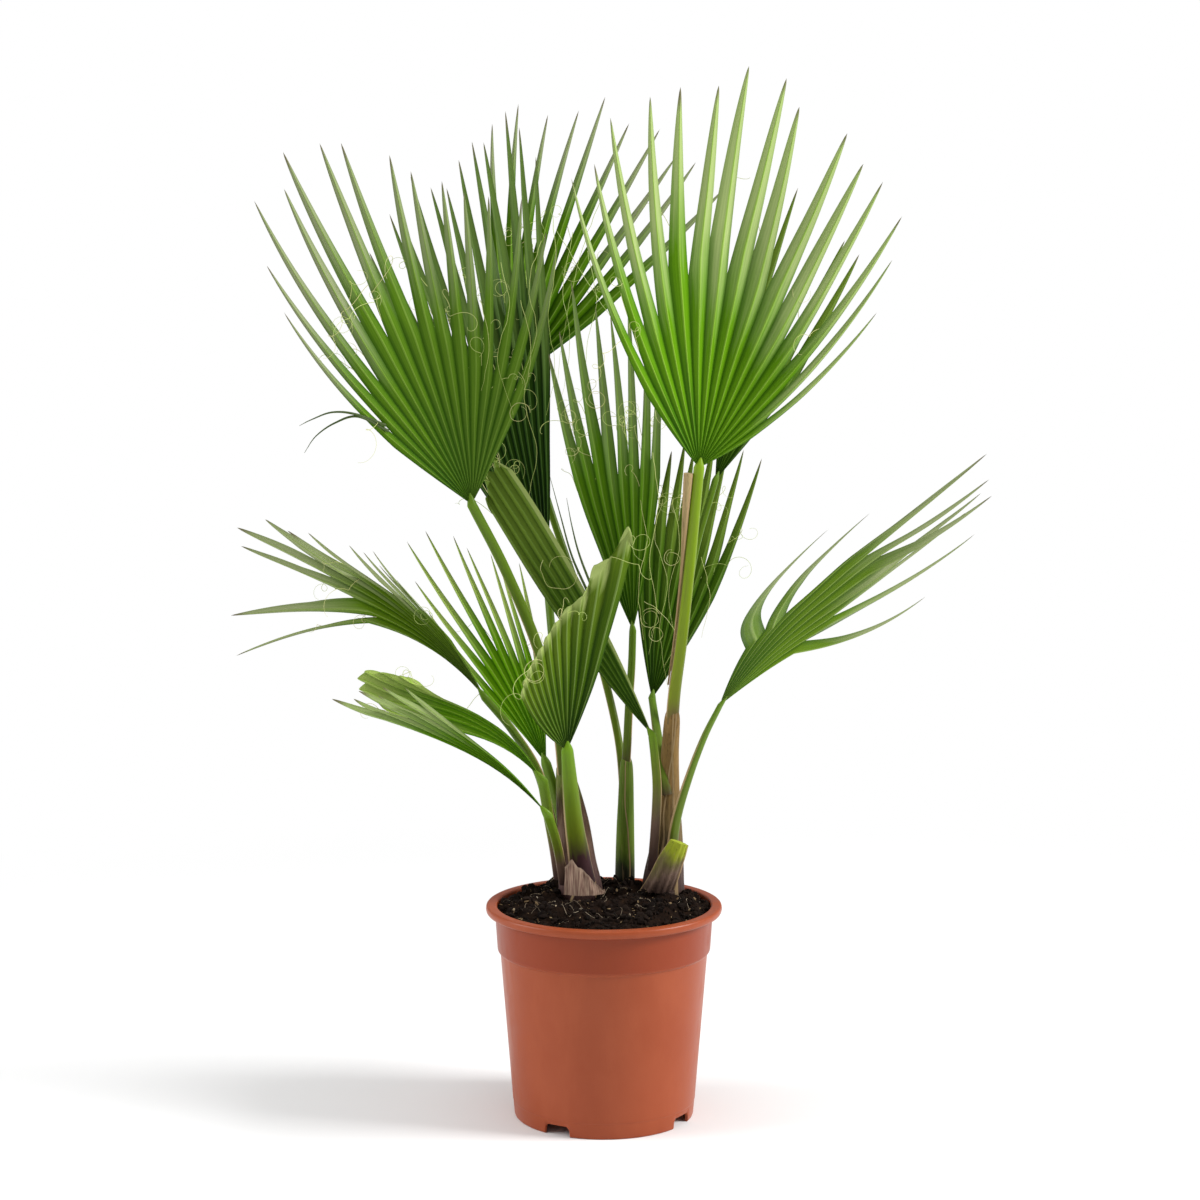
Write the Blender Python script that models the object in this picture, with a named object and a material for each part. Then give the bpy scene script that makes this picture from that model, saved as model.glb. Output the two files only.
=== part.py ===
"""A potted Mexican fan palm: three young palms in one terracotta-coloured nursery pot.

Metres, +Z up. The origin is the middle of the pot's foot, on the surface it stands on.
-Y is the front. Every frond is one solid: a leaf stalk and a pleated fan cut into
pointed fingers. Stems stand in holes in the soil, and stalks sit in sockets in the stems.
"""
import math
import random

import bmesh
import bpy
import numpy as np

# Pot, a 21 cm nursery pot
LIP_RADIUS = 0.105
LIP_TOP = 0.191
LIP_BOTTOM = 0.1835
LIP_ROUNDING = 0.002
EDGE_ROUNDING = 0.0015
COLLAR_TOP_RADIUS = 0.0968
COLLAR_BOTTOM_RADIUS = 0.0946
COLLAR_BOTTOM = 0.150
BODY_TOP_RADIUS = 0.0922
BASE_RADIUS = 0.0800
WALL = 0.0018
FOOT_INNER_RADIUS = 0.0735
FLOOR_UNDERSIDE = 0.010
FLOOR_THICKNESS = 0.002
POT_SIDES = 32
NOTCH_WIDTH = 0.024
NOTCH_HEIGHT = 0.0095
NOTCH_CORNER = 0.003
NOTCH_ANGLES = (-31, 59, 149, 239)
DRAIN_RADIUS = 0.004
DRAIN_CIRCLE = 0.045
DRAIN_COUNT = 6

# Soil
SOIL_RIM_HEIGHT = 0.186
SOIL_HEAP = 0.012
SOIL_LUMP = 0.0045
SOIL_RADIUS = 0.095
HUSK_DIP = 0.010
SOIL_RINGS = 6
LUMP_WAVES = (131, 117)
SMALL_LUMP_WAVES = (211, -163)
SMALL_LUMP_SHARE = 0.6
LUMP_PHASES = (1.3, 0.4, 2.0)
CALM_EDGE = 0.6

# What touches keeps this gap; a socket has a little more, for its flat-sided tubes
GAP = 0.0003
SOCKET_GAP = 0.0004

# Leaf blades and stalks
BLADE_THICKNESS = 0.0009
BLADE_START = 0.013
PLEAT_DEPTH = 0.45
FINGER_ROWS = (0.35, 0.7)
FINGER_TAPER = 0.6
FINGER_LENGTHS = (0.94, 1.03)
FINGER_SWAY = 0.5
FINGER_NOD = 0.03
SPLIT_RIPPLE = 0.08
SPLIT_STEP = 1.7
CUP_ROUNDING = 0.2
BOW_TOP = 27 / 4
HUB_POINTS = ((0.014, 0.5), (0.026, 0.2))
STALK_SIDES = 8
STALK_RINGS = 7
STALK_FLATNESS = 0.8
STEM_SIDES = 14

# One entry a frond. hub is where the stalk meets the blade. lean is the middle finger's
# angle from upright, to the right; tilt leans it to the front; turn swings the blade about
# it. reach gives finger length at some angles in the blade, from left to right, and split
# the share of it that stays joined; with ragged 0 a fold leaves the fan's edge smooth. flare
# opens the fan wider near the hub, bow lifts each finger above the line from hub to tip, cup
# folds the blade's sides to the front, and bends turn some fingers on, in degrees. stalk runs
# from its foot in the stem up to the hub.
FRONDS = {
    "frond_right_high": dict(
        hub=(0.082, -0.020, 0.580), lean=10, tilt=4, turn=18, fingers=15,
        split=((-40, 0.32), (-34, 0.38), (-25, 0.46), (-12, 0.54), (8, 0.54), (20, 0.46), (30, 0.34),
               (42, 0.28)),
        reach=((-40, 0.262), (-37, 0.280), (-26, 0.312), (-15, 0.338), (0, 0.338), (7, 0.322), (17, 0.300),
               (28, 0.274), (34, 0.240), (42, 0.175)),
        flare=0.30, bow=0.0, cup=0.30, width=0.0050, foot=0.0062,
        stalk=((0.0605, 0.020, 0.350), (0.0625, 0.012, 0.380), (0.068, 0.000, 0.427),
               (0.075, -0.010, 0.499)),
    ),
    "frond_left_high": dict(
        hub=(-0.114, -0.030, 0.549), lean=-10, tilt=6, turn=22, fingers=15,
        split=((-38, 0.36), (-27, 0.40), (-20, 0.50), (-5, 0.50), (10, 0.44), (31, 0.40)),
        reach=((-38, 0.230), (-35, 0.262), (-31, 0.290), (-27, 0.322), (-20, 0.341), (-14, 0.337),
               (-6, 0.313),
               (1, 0.300), (8, 0.282), (18, 0.262), (31, 0.240)),
        flare=0.34, bow=0.02, cup=0.30, width=0.0045, foot=0.0060,
        stalk=((-0.034, 0.032, 0.272), (-0.041, 0.033, 0.345), (-0.058, 0.020, 0.415),
               (-0.086, -0.005, 0.489)),
    ),
    "frond_left_back": dict(
        hub=(-0.051, 0.100, 0.459), lean=-8, tilt=-5, turn=-20, fingers=14,
        split=((-24, 0.60), (8.3, 0.60)),
        reach=((-24, 0.365), (-10, 0.391), (-1, 0.425), (3.7, 0.425), (8.3, 0.370)),
        flare=0.25, bow=0.02, cup=0.20, width=0.0040, foot=0.0045,
        stalk=((-0.027, 0.044, 0.262), (-0.034, 0.055, 0.300), (-0.041, 0.070, 0.350),
               (-0.046, 0.085, 0.406)),
    ),
    "frond_middle_back": dict(
        hub=(-0.084, 0.158, 0.648), lean=21, tilt=-3, turn=10, fingers=10,
        split=((-29, 0.36), (29, 0.36)),
        reach=((-29, 0.240), (-18, 0.258), (0, 0.272), (29, 0.272)),
        flare=0.20, bow=0.0, cup=0.10, width=0.0035, foot=0.0038,
        stalk=((0.019, 0.076, 0.262), (0.012, 0.092, 0.330), (-0.012, 0.122, 0.420),
               (-0.050, 0.148, 0.530)),
    ),
    "frond_middle_front": dict(
        hub=(0.026, 0.055, 0.428), lean=-5, tilt=-2, turn=-25, fingers=8,
        split=((-14, 0.60), (0, 0.50), (13, 0.55)),
        reach=((-14, 0.261), (-5, 0.313), (0, 0.298), (5, 0.291), (13, 0.262)),
        flare=0.60, bow=0.0, cup=0.15, width=0.0035, foot=0.0045,
        stalk=((0.020, 0.064, 0.300), (0.0215, 0.060, 0.330), (0.023, 0.056, 0.365), (0.025, 0.055, 0.395)),
    ),
    "frond_right_back": dict(
        hub=(0.100, 0.070, 0.562), lean=22, tilt=-8, turn=30, fingers=6,
        split=((-18, 0.45), (17, 0.45)),
        reach=((-18, 0.256), (-9, 0.264), (3, 0.257), (17, 0.250)),
        flare=0.30, bow=0.0, cup=0.20, width=0.0035, foot=0.0045,
        stalk=((0.061, 0.044, 0.262), (0.063, 0.055, 0.328), (0.068, 0.068, 0.399), (0.081, 0.074, 0.490)),
    ),
    "frond_left_folded": dict(
        hub=(-0.032, -0.035, 0.335), lean=2, tilt=12, turn=20, fingers=11,
        split=((-38, 0.97), (15, 0.97)), ragged=0.0,
        reach=((-38, 0.078), (-26, 0.092), (-14, 0.106), (3, 0.143), (11, 0.187), (13.5, 0.222),
               (15, 0.195)),
        flare=0.45, bow=0.0, cup=0.35, width=0.0056, foot=0.0118,
        stalk=((-0.0180, 0.017, 0.204), (-0.0225, 0.0105, 0.232), (-0.0270, -0.007, 0.268),
               (-0.0300, -0.024, 0.305)),
    ),
    "frond_left_arching": dict(
        hub=(-0.104, -0.020, 0.379), lean=-45, tilt=10, turn=-30, fingers=12,
        split=((-24, 0.50), (-16, 0.50), (-12, 0.68), (0, 0.62), (10, 0.50), (23, 0.42)),
        reach=((-24, 0.218), (-18, 0.246), (-14, 0.264), (-10, 0.266), (-6, 0.250), (-2, 0.235), (2, 0.213),
               (6, 0.190), (14, 0.166), (23, 0.138)),
        bends={0: -15, 1: -11, 10: -6, 11: -8},
        flare=-0.60, bow=0.06, cup=0.25, width=0.0038, foot=0.0055,
        stalk=((-0.039, 0.036, 0.212), (-0.046, 0.034, 0.250), (-0.058, 0.016, 0.305),
               (-0.080, -0.006, 0.347)),
    ),
    "frond_left_inner": dict(
        hub=(-0.052, 0.046, 0.308), lean=-23, tilt=0, turn=-20, fingers=9,
        split=((-19, 0.42), (19, 0.42)),
        reach=((-19, 0.170), (-13, 0.200), (-6, 0.245), (0, 0.232), (8, 0.203), (19, 0.197)),
        flare=0.30, bow=0.04, cup=0.15, width=0.0050, foot=0.0055,
        stalk=((-0.031, 0.045, 0.216), (-0.037, 0.048, 0.248), (-0.044, 0.048, 0.280)),
    ),
    "frond_left_broad": dict(
        hub=(-0.054, -0.004, 0.302), lean=-56, tilt=15, turn=-30, fingers=6,
        split=((-9, 0.97), (9, 0.97)), ragged=0.0,
        reach=((-9, 0.150), (-5, 0.184), (0, 0.196), (5, 0.180), (9, 0.148)),
        flare=0.25, bow=0.10, cup=0.15, width=0.0050, foot=0.0050,
        stalk=((-0.0405, 0.024, 0.208), (-0.0440, 0.018, 0.236), (-0.0490, 0.007, 0.268)),
    ),
    "frond_left_low": dict(
        hub=(-0.049, -0.032, 0.277), lean=-50, tilt=12, turn=-20, fingers=6,
        split=((-11, 0.78), (6, 0.74)),
        reach=((-11, 0.222), (-5, 0.205), (0, 0.190), (6, 0.170)),
        flare=-0.50, bow=0.06, cup=0.15, width=0.0045, foot=0.0045,
        stalk=((-0.0358, 0.016, 0.205), (-0.0388, 0.006, 0.228), (-0.0425, -0.012, 0.251)),
    ),
    "frond_right_arching": dict(
        hub=(0.102, 0.000, 0.369), lean=48, tilt=9, turn=60, fingers=10,
        split=((-19, 0.26), (-15, 0.30), (-11, 0.40), (-9, 0.60), (7, 0.54), (10, 0.40), (19, 0.36)),
        reach=((-19, 0.262), (-12, 0.260), (-10, 0.332), (-6, 0.322), (-2, 0.326), (2, 0.318), (6, 0.292),
               (10, 0.290), (13, 0.295), (17, 0.222), (19, 0.215)),
        bends={0: -22, 1: -14, 8: 9, 9: 14},
        flare=1.20, bow=0.045, cup=0.00, width=0.0035, foot=0.0065,
        stalk=((0.060, 0.0265, 0.226), (0.0640, 0.018, 0.262), (0.0745, 0.008, 0.302),
               (0.088, 0.002, 0.340)),
    ),
    "frond_right_inner": dict(
        hub=(0.044, 0.086, 0.361), lean=8, tilt=-6, turn=25, fingers=9,
        split=((-14, 0.70), (6, 0.65), (19, 0.45)),
        reach=((-14, 0.228), (3, 0.241), (14, 0.252), (19, 0.262)),
        flare=0.60, bow=0.0, cup=0.15, width=0.0040, foot=0.0060,
        stalk=((0.0565, 0.029, 0.283), (0.0515, 0.034, 0.312), (0.0475, 0.055, 0.338)),
    ),
    "frond_right_folded": dict(
        hub=(0.043, 0.018, 0.339), lean=-32, tilt=-5, turn=-25, fingers=5,
        split=((-4.3, 0.97), (4.3, 0.97)), ragged=0.0,
        reach=((-4.3, 0.250), (-2, 0.272), (2, 0.285), (4.3, 0.275)),
        flare=1.80, bow=0.0, cup=0.20, width=0.0040, foot=0.0050,
        stalk=((0.0435, 0.028, 0.215), (0.0460, 0.024, 0.250), (0.0475, 0.020, 0.290),
               (0.0455, 0.018, 0.318)),
    ),
}

# Stems, from the buried end up: middle of the stem and its radius
STEMS = {
    "stem_left": (
        ((-0.020, 0.030, 0.120), 0.013), ((-0.020, 0.030, 0.178), 0.021), ((-0.021, 0.030, 0.200), 0.0205),
        ((-0.024, 0.030, 0.225), 0.0175), ((-0.028, 0.031, 0.260), 0.0150), ((-0.033, 0.034, 0.292), 0.0105),
        ((-0.036, 0.036, 0.306), 0.0070),
    ),
    "stem_middle": (
        ((0.019, 0.070, 0.120), 0.006), ((0.019, 0.070, 0.180), 0.0098), ((0.0195, 0.070, 0.200), 0.0094),
        ((0.020, 0.068, 0.260), 0.0082), ((0.0205, 0.064, 0.312), 0.0068),
    ),
    "stem_right": (
        ((0.053, 0.040, 0.120), 0.013), ((0.053, 0.040, 0.178), 0.021), ((0.054, 0.040, 0.205), 0.0195),
        ((0.057, 0.040, 0.240), 0.0150), ((0.058, 0.039, 0.280), 0.0110), ((0.059, 0.032, 0.320), 0.0085),
        ((0.061, 0.018, 0.363), 0.0076),
    ),
}

# Fronds whose stalk feet sit in each stem
STALKS_IN = {
    "stem_left": ("frond_left_high", "frond_left_back", "frond_left_folded", "frond_left_arching",
                  "frond_left_inner", "frond_left_broad", "frond_left_low"),
    "stem_middle": ("frond_middle_back", "frond_middle_front"),
    "stem_right": ("frond_right_high", "frond_right_back", "frond_right_arching", "frond_right_inner",
                   "frond_right_folded"),
}

# Cut stalk of an old frond on the right palm, and the dry sheath beside its tall stalk, the
# first as places and radii and the second as heights and radii
STUB = (((0.0475, 0.018, 0.199), 0.0155), ((0.053, 0.006, 0.214), 0.0135), ((0.060, -0.001, 0.233), 0.0115),
        ((0.0665, -0.004, 0.247), 0.0080))
SHEATH = ((0.385, 0.0008), (0.440, 0.0010), (0.495, 0.0015), (0.530, 0.0028), (0.560, 0.0038),
          (0.574, 0.0042))
SHEATH_SIDES = 6

# Papery husk at the foot of the left palm
HUSK_MIDDLE = (-0.019, 0.030)
HUSK_RADIUS = 0.0290
HUSK_FLARE = 0.002
HUSK_ANGLES = (-122, -46)
HUSK_PEAK = 0.18
HUSK_LEAST = 0.12
HUSK_COLUMNS = 10
HUSK_ROWS = 4
HUSK_FOOT = 0.1978
HUSK_HEIGHT = 0.032
HUSK_THICKNESS = 0.001

# Colours; fronds with their hub behind BACK_FROM have the deep green
BACK_FROM = 0.05
LEAF_GREEN = (0.10, 0.24, 0.02)
DEEP_GREEN = (0.03, 0.10, 0.01)
TERRACOTTA = (0.36, 0.085, 0.035)
PEAT = (0.018, 0.011, 0.007)
BARK = (0.10, 0.045, 0.03)
STRAW = (0.35, 0.22, 0.10)


def clear_scene():
    """Removes every object that the file opened with."""
    for item in list(bpy.data.objects):
        bpy.data.objects.remove(item, do_unlink=True)


def material(name, colour, roughness):
    """A plain Principled material."""
    made = bpy.data.materials.get(name) or bpy.data.materials.new(name)
    made.use_nodes = True
    shader = made.node_tree.nodes["Principled BSDF"]
    shader.inputs["Base Color"].default_value = (*colour, 1.0)
    shader.inputs["Roughness"].default_value = roughness
    shader.inputs["Metallic"].default_value = 0.0
    return made


def solid(name, points, faces, finish=None):
    """An object from points and faces, with its faces turned outwards."""
    mesh = bpy.data.meshes.new(name)
    mesh.from_pydata([tuple(point) for point in points], [], faces)
    work = bmesh.new()
    work.from_mesh(mesh)
    bmesh.ops.triangulate(work, faces=work.faces)
    bmesh.ops.recalc_face_normals(work, faces=work.faces)
    work.to_mesh(mesh)
    work.free()
    made = bpy.data.objects.new(name, mesh)
    bpy.context.scene.collection.objects.link(made)
    if finish:
        mesh.materials.append(finish)
    return made


def combine(target, tool, operation):
    """Applies a Boolean of tool to target, and removes the tool."""
    modifier = target.modifiers.new("join", "BOOLEAN")
    modifier.operation = operation
    modifier.solver = "EXACT"
    modifier.object = tool
    graph = bpy.context.evaluated_depsgraph_get()
    graph.update()
    result = bpy.data.meshes.new_from_object(target.evaluated_get(graph))
    target.modifiers.clear()
    target.data = result
    bpy.data.objects.remove(tool, do_unlink=True)


def shade_round(item, angle=35):
    """Smooth shading, with edges sharper than the angle kept crisp."""
    item.data.shade_smooth()
    item.data.set_sharp_from_angle(angle=math.radians(angle))


def turned(name, profile, sides, finish=None):
    """A closed profile of (radius, height) points turned round the Z axis."""
    points = []
    for radius, height in profile:
        for side in range(sides):
            angle = 2 * math.pi * side / sides
            points.append((radius * math.cos(angle), radius * math.sin(angle), height))
    faces = []
    for row in range(len(profile)):
        below = row * sides
        above = (row + 1) % len(profile) * sides
        for side in range(sides):
            after = (side + 1) % sides
            faces.append((below + side, below + after, above + after, above + side))
    return solid(name, points, faces, finish)


def smooth_path(points, count):
    """count places evenly along a Catmull-Rom curve through the points."""
    ends = [2 * points[0] - points[1]] + list(points) + [2 * points[-1] - points[-2]]
    places = []
    for step in np.linspace(0, len(points) - 1, count):
        span = min(int(step), len(points) - 2)
        t = step - span
        a, b, c, d = ends[span:span + 4]
        places.append(0.5 * (2 * b + (c - a) * t + (2 * a - 5 * b + 4 * c - d) * t * t
                             + (3 * b - a - 3 * c + d) * t ** 3))
    return places


def tube(name, places, radii, sides, flatness, facing, finish=None):
    """A capped tube through the places; facing is the side of its flatter face."""
    points = []
    last = len(places) - 1
    for index, (place, radius) in enumerate(zip(places, radii)):
        along = places[min(index + 1, last)] - places[max(index - 1, 0)]
        along = along / np.linalg.norm(along)
        across = np.cross(along, facing)
        across = across / np.linalg.norm(across)
        front = np.cross(across, along)
        for side in range(sides):
            angle = 2 * math.pi * (side + 0.5) / sides
            points.append(place + radius * (math.cos(angle) * across + flatness * math.sin(angle) * front))
    faces = [tuple(range(sides)), tuple(last * sides + side for side in reversed(range(sides)))]
    for row in range(last):
        for side in range(sides):
            after = (side + 1) % sides
            low = row * sides
            faces.append((low + side, low + sides + side, low + sides + after, low + after))
    return solid(name, points, faces, finish)


def frond_axes(frond):
    """The blade's middle direction, its right-hand side and the way it faces."""
    lean, tilt, turn = (math.radians(frond[key]) for key in ("lean", "tilt", "turn"))
    middle = np.array((math.sin(lean) * math.cos(tilt), -math.sin(tilt), math.cos(lean) * math.cos(tilt)))
    level = np.array((math.cos(lean), 0.0, -math.sin(lean)))
    right = math.cos(turn) * level - math.sin(turn) * np.cross(level, middle)
    return middle, right, np.cross(right, middle)


def blade_point(frond, axes, angle, radius, length):
    """A point of the smooth blade: rays from the hub, with its sides cupped and its fingers bowed."""
    middle, right, facing = axes
    share = radius / length
    angle *= 1 + frond["flare"] * (1 - share)
    cup = frond["cup"] * radius * (math.hypot(math.sin(angle), CUP_ROUNDING) - CUP_ROUNDING)
    lift = frond["bow"] * length * BOW_TOP * share * (1 - share) ** 2
    point = np.array(frond["hub"]) + radius * (math.cos(angle) * middle + math.sin(angle) * right)
    return point + cup * facing + np.array((0.0, 0.0, lift))


def fold_lines(frond, seed):
    """Angle, finger length and split radius of each fold line, odd ones being ribs."""
    angles, lengths = zip(*frond["reach"])
    slits, shares = zip(*frond["split"])
    half = math.radians(angles[-1] - angles[0]) / frond["fingers"] / 2
    ripple = frond.get("ragged", 1.0) * SPLIT_RIPPLE
    lines = []
    for number in range(2 * frond["fingers"] + 1):
        angle = math.radians(angles[0]) + number * half
        length = float(np.interp(math.degrees(angle), angles, lengths))
        share = float(np.interp(math.degrees(angle), slits, shares))
        split = length * share * (1 + ripple * math.sin(SPLIT_STEP * number + seed))
        lines.append((angle, length, split))
    return lines, half


def fused_fan(frond, axes, lines, half):
    """Front points, faces and rim of the joined part, pleated down at valleys and up at ribs."""
    shares = (0.0, 0.5, 1.0) if frond["bow"] else (0.0, 1.0)
    wide = len(lines)
    points = []
    for share in shares:
        for number, (angle, length, split) in enumerate(lines):
            radius = BLADE_START + share * (split - BLADE_START)
            pleat = PLEAT_DEPTH * radius * half * (1 if number % 2 else -1)
            points.append(blade_point(frond, axes, angle, radius, length) + pleat * axes[2])
    faces = []
    for row in range(len(shares) - 1):
        for low in range(row * wide, (row + 1) * wide - 1):
            faces.append((low, low + wide, low + 1))
            faces.append((low + 1, low + wide, low + wide + 1))
    rim = [(row * wide, row * wide + wide) for row in range(len(shares) - 1)]
    rim += [((row + 2) * wide - 1, (row + 1) * wide - 1) for row in range(len(shares) - 1)]
    rim += [(low + 1, low) for low in range(wide - 1)]
    return points, faces, rim


def add_finger(frond, axes, lines, half, finger, draw, fan):
    """One free finger: a narrowing trough from the split out to a point, a little out of line."""
    points, faces, rim, base = fan
    angle, length, _ = lines[2 * finger + 1]
    length *= 1 + frond.get("ragged", 1.0) * (draw.uniform(*FINGER_LENGTHS) - 1)
    sway = draw.uniform(-FINGER_SWAY, FINGER_SWAY) * half
    bend = math.radians(frond.get("bends", {}).get(finger, 0.0))
    nod = draw.uniform(-FINGER_NOD, FINGER_NOD) * length
    previous = tuple(base + 2 * finger + side for side in range(3))
    for share in FINGER_ROWS:
        row = []
        for side in (-1, 0, 1):
            start = lines[2 * finger + 1 + side][2]
            radius = start + share * (length - start)
            width = half * start * (1 - share) ** FINGER_TAPER / radius
            swing = sway * share + bend * (1 - start / radius) / (1 - start / length)
            place = blade_point(frond, axes, angle + swing + side * width, radius, length)
            lift = nod * share ** 2 + PLEAT_DEPTH * radius * width * (-1 if side else 1)
            row.append(len(points))
            points.append(place + lift * axes[2])
        for side in range(2):
            faces.append((previous[side], row[side], previous[side + 1]))
            faces.append((previous[side + 1], row[side], row[side + 1]))
        rim += [(previous[0], row[0]), (row[2], previous[2])]
        previous = tuple(row)
    tip = len(points)
    points.append(blade_point(frond, axes, angle + sway + bend, length, length) + nod * axes[2])
    faces += [(previous[0], tip, previous[1]), (previous[1], tip, previous[2])]
    rim += [(previous[0], tip), (tip, previous[2])]


def blade(name, frond, finish, seed):
    """The pleated fan and its free fingers, given thickness by a copy set back behind it."""
    draw = random.Random(seed)
    axes = frond_axes(frond)
    lines, half = fold_lines(frond, seed)
    points, front, rim = fused_fan(frond, axes, lines, half)
    base = len(points) - len(lines)
    for finger in range(frond["fingers"]):
        add_finger(frond, axes, lines, half, finger, draw, (points, front, rim, base))
    count = len(points)
    faces = list(front)
    faces += [tuple(corner + count for corner in reversed(face)) for face in front]
    faces += [(first, first + count, second + count, second) for first, second in rim]
    return solid(name, points + [point - BLADE_THICKNESS * axes[2] for point in points], faces, finish)


def stalk_line(frond):
    """Places and radii of the stalk from its foot to its point in the blade."""
    axes = frond_axes(frond)
    length = float(np.interp(0.0, *zip(*frond["reach"])))
    route = [np.array(place) for place in frond["stalk"]] + [np.array(frond["hub"])]
    places = smooth_path(route, STALK_RINGS)
    radii = list(np.linspace(frond["foot"], frond["width"], STALK_RINGS))
    for reach, share in HUB_POINTS:
        places.append(blade_point(frond, axes, 0.0, reach, length))
        radii.append(share * frond["width"])
    return places, radii


def stalk(name, frond, extra, finish=None):
    """The leaf stalk as a tube, thicker by extra and longer by it at its foot."""
    places, radii = stalk_line(frond)
    foot = places[0] - places[1]
    places[0] = places[0] + extra * foot / np.linalg.norm(foot)
    radii = [radius + extra for radius in radii]
    return tube(name, places, radii, STALK_SIDES, STALK_FLATNESS, frond_axes(frond)[2], finish)


def make_fronds():
    """Every frond, its blade and stalk joined as they grew."""
    for seed, (name, frond) in enumerate(FRONDS.items()):
        back = frond["hub"][1] > BACK_FROM
        finish = material("leaf_deep" if back else "leaf", DEEP_GREEN if back else LEAF_GREEN, 0.4)
        whole = blade(name, frond, finish, seed)
        combine(whole, stalk("tool", frond, 0.0, finish), "UNION")
        shade_round(whole, 25)


def stem(name, rings, extra, finish=None):
    """A stem through its rings, thicker by extra, with its foot longer by it."""
    places = [np.array(place) for place, _ in rings]
    places[0] = places[0] - np.array((0.0, 0.0, extra))
    radii = [radius + extra for _, radius in rings]
    return tube(name, places, radii, STEM_SIDES, 1.0, np.array((0.0, -1.0, 0.0)), finish)


def make_stems():
    """The three stems, each with a socket for every stalk that grows from it."""
    bark = material("bark", BARK, 0.7)
    for name, rings in STEMS.items():
        made = stem(name, rings, 0.0, bark)
        for frond in STALKS_IN[name]:
            combine(made, stalk("tool", FRONDS[frond], SOCKET_GAP), "DIFFERENCE")
        if name == "stem_right":
            combine(made, stem("tool", STUB, SOCKET_GAP), "DIFFERENCE")
        shade_round(made)


def make_trim():
    """The cut stub, the dry sheath and the papery husk."""
    shade_round(stem("cut_stub", STUB, 0.0, material("stub", LEAF_GREEN, 0.6)))
    tall = FRONDS["frond_right_high"]
    _, right, facing = frond_axes(tall)
    places, radii = stalk_line(tall)
    heights = [place[2] for place in places]
    line = []
    for height, radius in SHEATH:
        middle = np.array([np.interp(height, heights, axis) for axis in np.transpose(places)])
        line.append(middle - (float(np.interp(height, heights, radii)) + radius + GAP) * right)
    sizes = [radius for _, radius in SHEATH]
    shade_round(tube("dry_sheath", line, sizes, SHEATH_SIDES, 1.0, facing, material("straw", STRAW, 0.8)))
    make_husk()


def make_husk():
    """A curved triangular husk round the front of the left palm's foot, its peak to the left."""
    across, rows = HUSK_COLUMNS, HUSK_ROWS
    wide = across + 1
    points = []
    for skin in (0.0, HUSK_THICKNESS):
        for row in range(rows + 1):
            for step in range(wide):
                side = step / across
                angle = math.radians(HUSK_ANGLES[0] + side * (HUSK_ANGLES[1] - HUSK_ANGLES[0]))
                top = HUSK_HEIGHT * max(HUSK_LEAST, 1 - abs(side - HUSK_PEAK) / (1 - HUSK_PEAK))
                reach = HUSK_RADIUS + skin + HUSK_FLARE * (1 - row / rows)
                x = HUSK_MIDDLE[0] + reach * math.cos(angle)
                y = HUSK_MIDDLE[1] + reach * math.sin(angle)
                points.append((x, y, HUSK_FOOT + top * row / rows))
    count = wide * (rows + 1)
    faces = []
    for row in range(rows):
        for step in range(across):
            low = row * wide + step
            inner = (low, low + 1, low + wide + 1, low + wide)
            faces.append(inner)
            faces.append(tuple(reversed([corner + count for corner in inner])))
    top = rows * wide
    rim = [(step, step + 1) for step in range(across)]
    rim += [(top + step + 1, top + step) for step in range(across)]
    rim += [((row + 1) * wide, row * wide) for row in range(rows)]
    rim += [(row * wide + across, (row + 1) * wide + across) for row in range(rows)]
    faces += [(first, first + count, second + count, second) for first, second in rim]
    shade_round(solid("husk", points, faces, material("husk", STRAW, 0.85)))


def pot_profile():
    """The pot's wall as a closed loop of (radius, height), outside up and inside down."""
    floor_top = FLOOR_UNDERSIDE + FLOOR_THICKNESS
    outside = [
        (FOOT_INNER_RADIUS, 0.0), (BASE_RADIUS - EDGE_ROUNDING, 0.0), (BASE_RADIUS, EDGE_ROUNDING),
        (BODY_TOP_RADIUS, COLLAR_BOTTOM - EDGE_ROUNDING), (COLLAR_BOTTOM_RADIUS, COLLAR_BOTTOM),
        (COLLAR_TOP_RADIUS, LIP_BOTTOM), (LIP_RADIUS - EDGE_ROUNDING, LIP_BOTTOM),
        (LIP_RADIUS, LIP_BOTTOM + EDGE_ROUNDING), (LIP_RADIUS, LIP_TOP - LIP_ROUNDING),
        (LIP_RADIUS - LIP_ROUNDING, LIP_TOP),
    ]
    inside = [
        (COLLAR_TOP_RADIUS - WALL + 0.001, LIP_TOP), (COLLAR_TOP_RADIUS - WALL, LIP_TOP - 0.002),
        (COLLAR_BOTTOM_RADIUS - WALL, COLLAR_BOTTOM + WALL), (BODY_TOP_RADIUS - WALL, COLLAR_BOTTOM - 0.001),
        (BASE_RADIUS - WALL + 0.001, floor_top + 0.002), (BASE_RADIUS - WALL - 0.001, floor_top),
    ]
    return outside, inside, floor_top


def make_pot():
    """The pot: a turned shell with a raised floor, cut by drain holes and foot notches."""
    outside, inside, floor_top = pot_profile()
    floor = [(DRAIN_RADIUS, floor_top), (DRAIN_RADIUS, FLOOR_UNDERSIDE),
             (FOOT_INNER_RADIUS - 0.001, FLOOR_UNDERSIDE)]
    pot = turned("pot", outside + inside + floor, POT_SIDES, material("terracotta", TERRACOTTA, 0.45))
    for number in range(DRAIN_COUNT):
        angle = 2 * math.pi * number / DRAIN_COUNT
        x, y = DRAIN_CIRCLE * math.cos(angle), DRAIN_CIRCLE * math.sin(angle)
        rings = (((x, y, FLOOR_UNDERSIDE / 2), DRAIN_RADIUS), ((x, y, 2 * floor_top), DRAIN_RADIUS))
        combine(pot, stem("tool", rings, 0.0), "DIFFERENCE")
    for degrees in NOTCH_ANGLES:
        combine(pot, notch_cutter(math.radians(degrees)), "DIFFERENCE")
    shade_round(pot)


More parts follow.
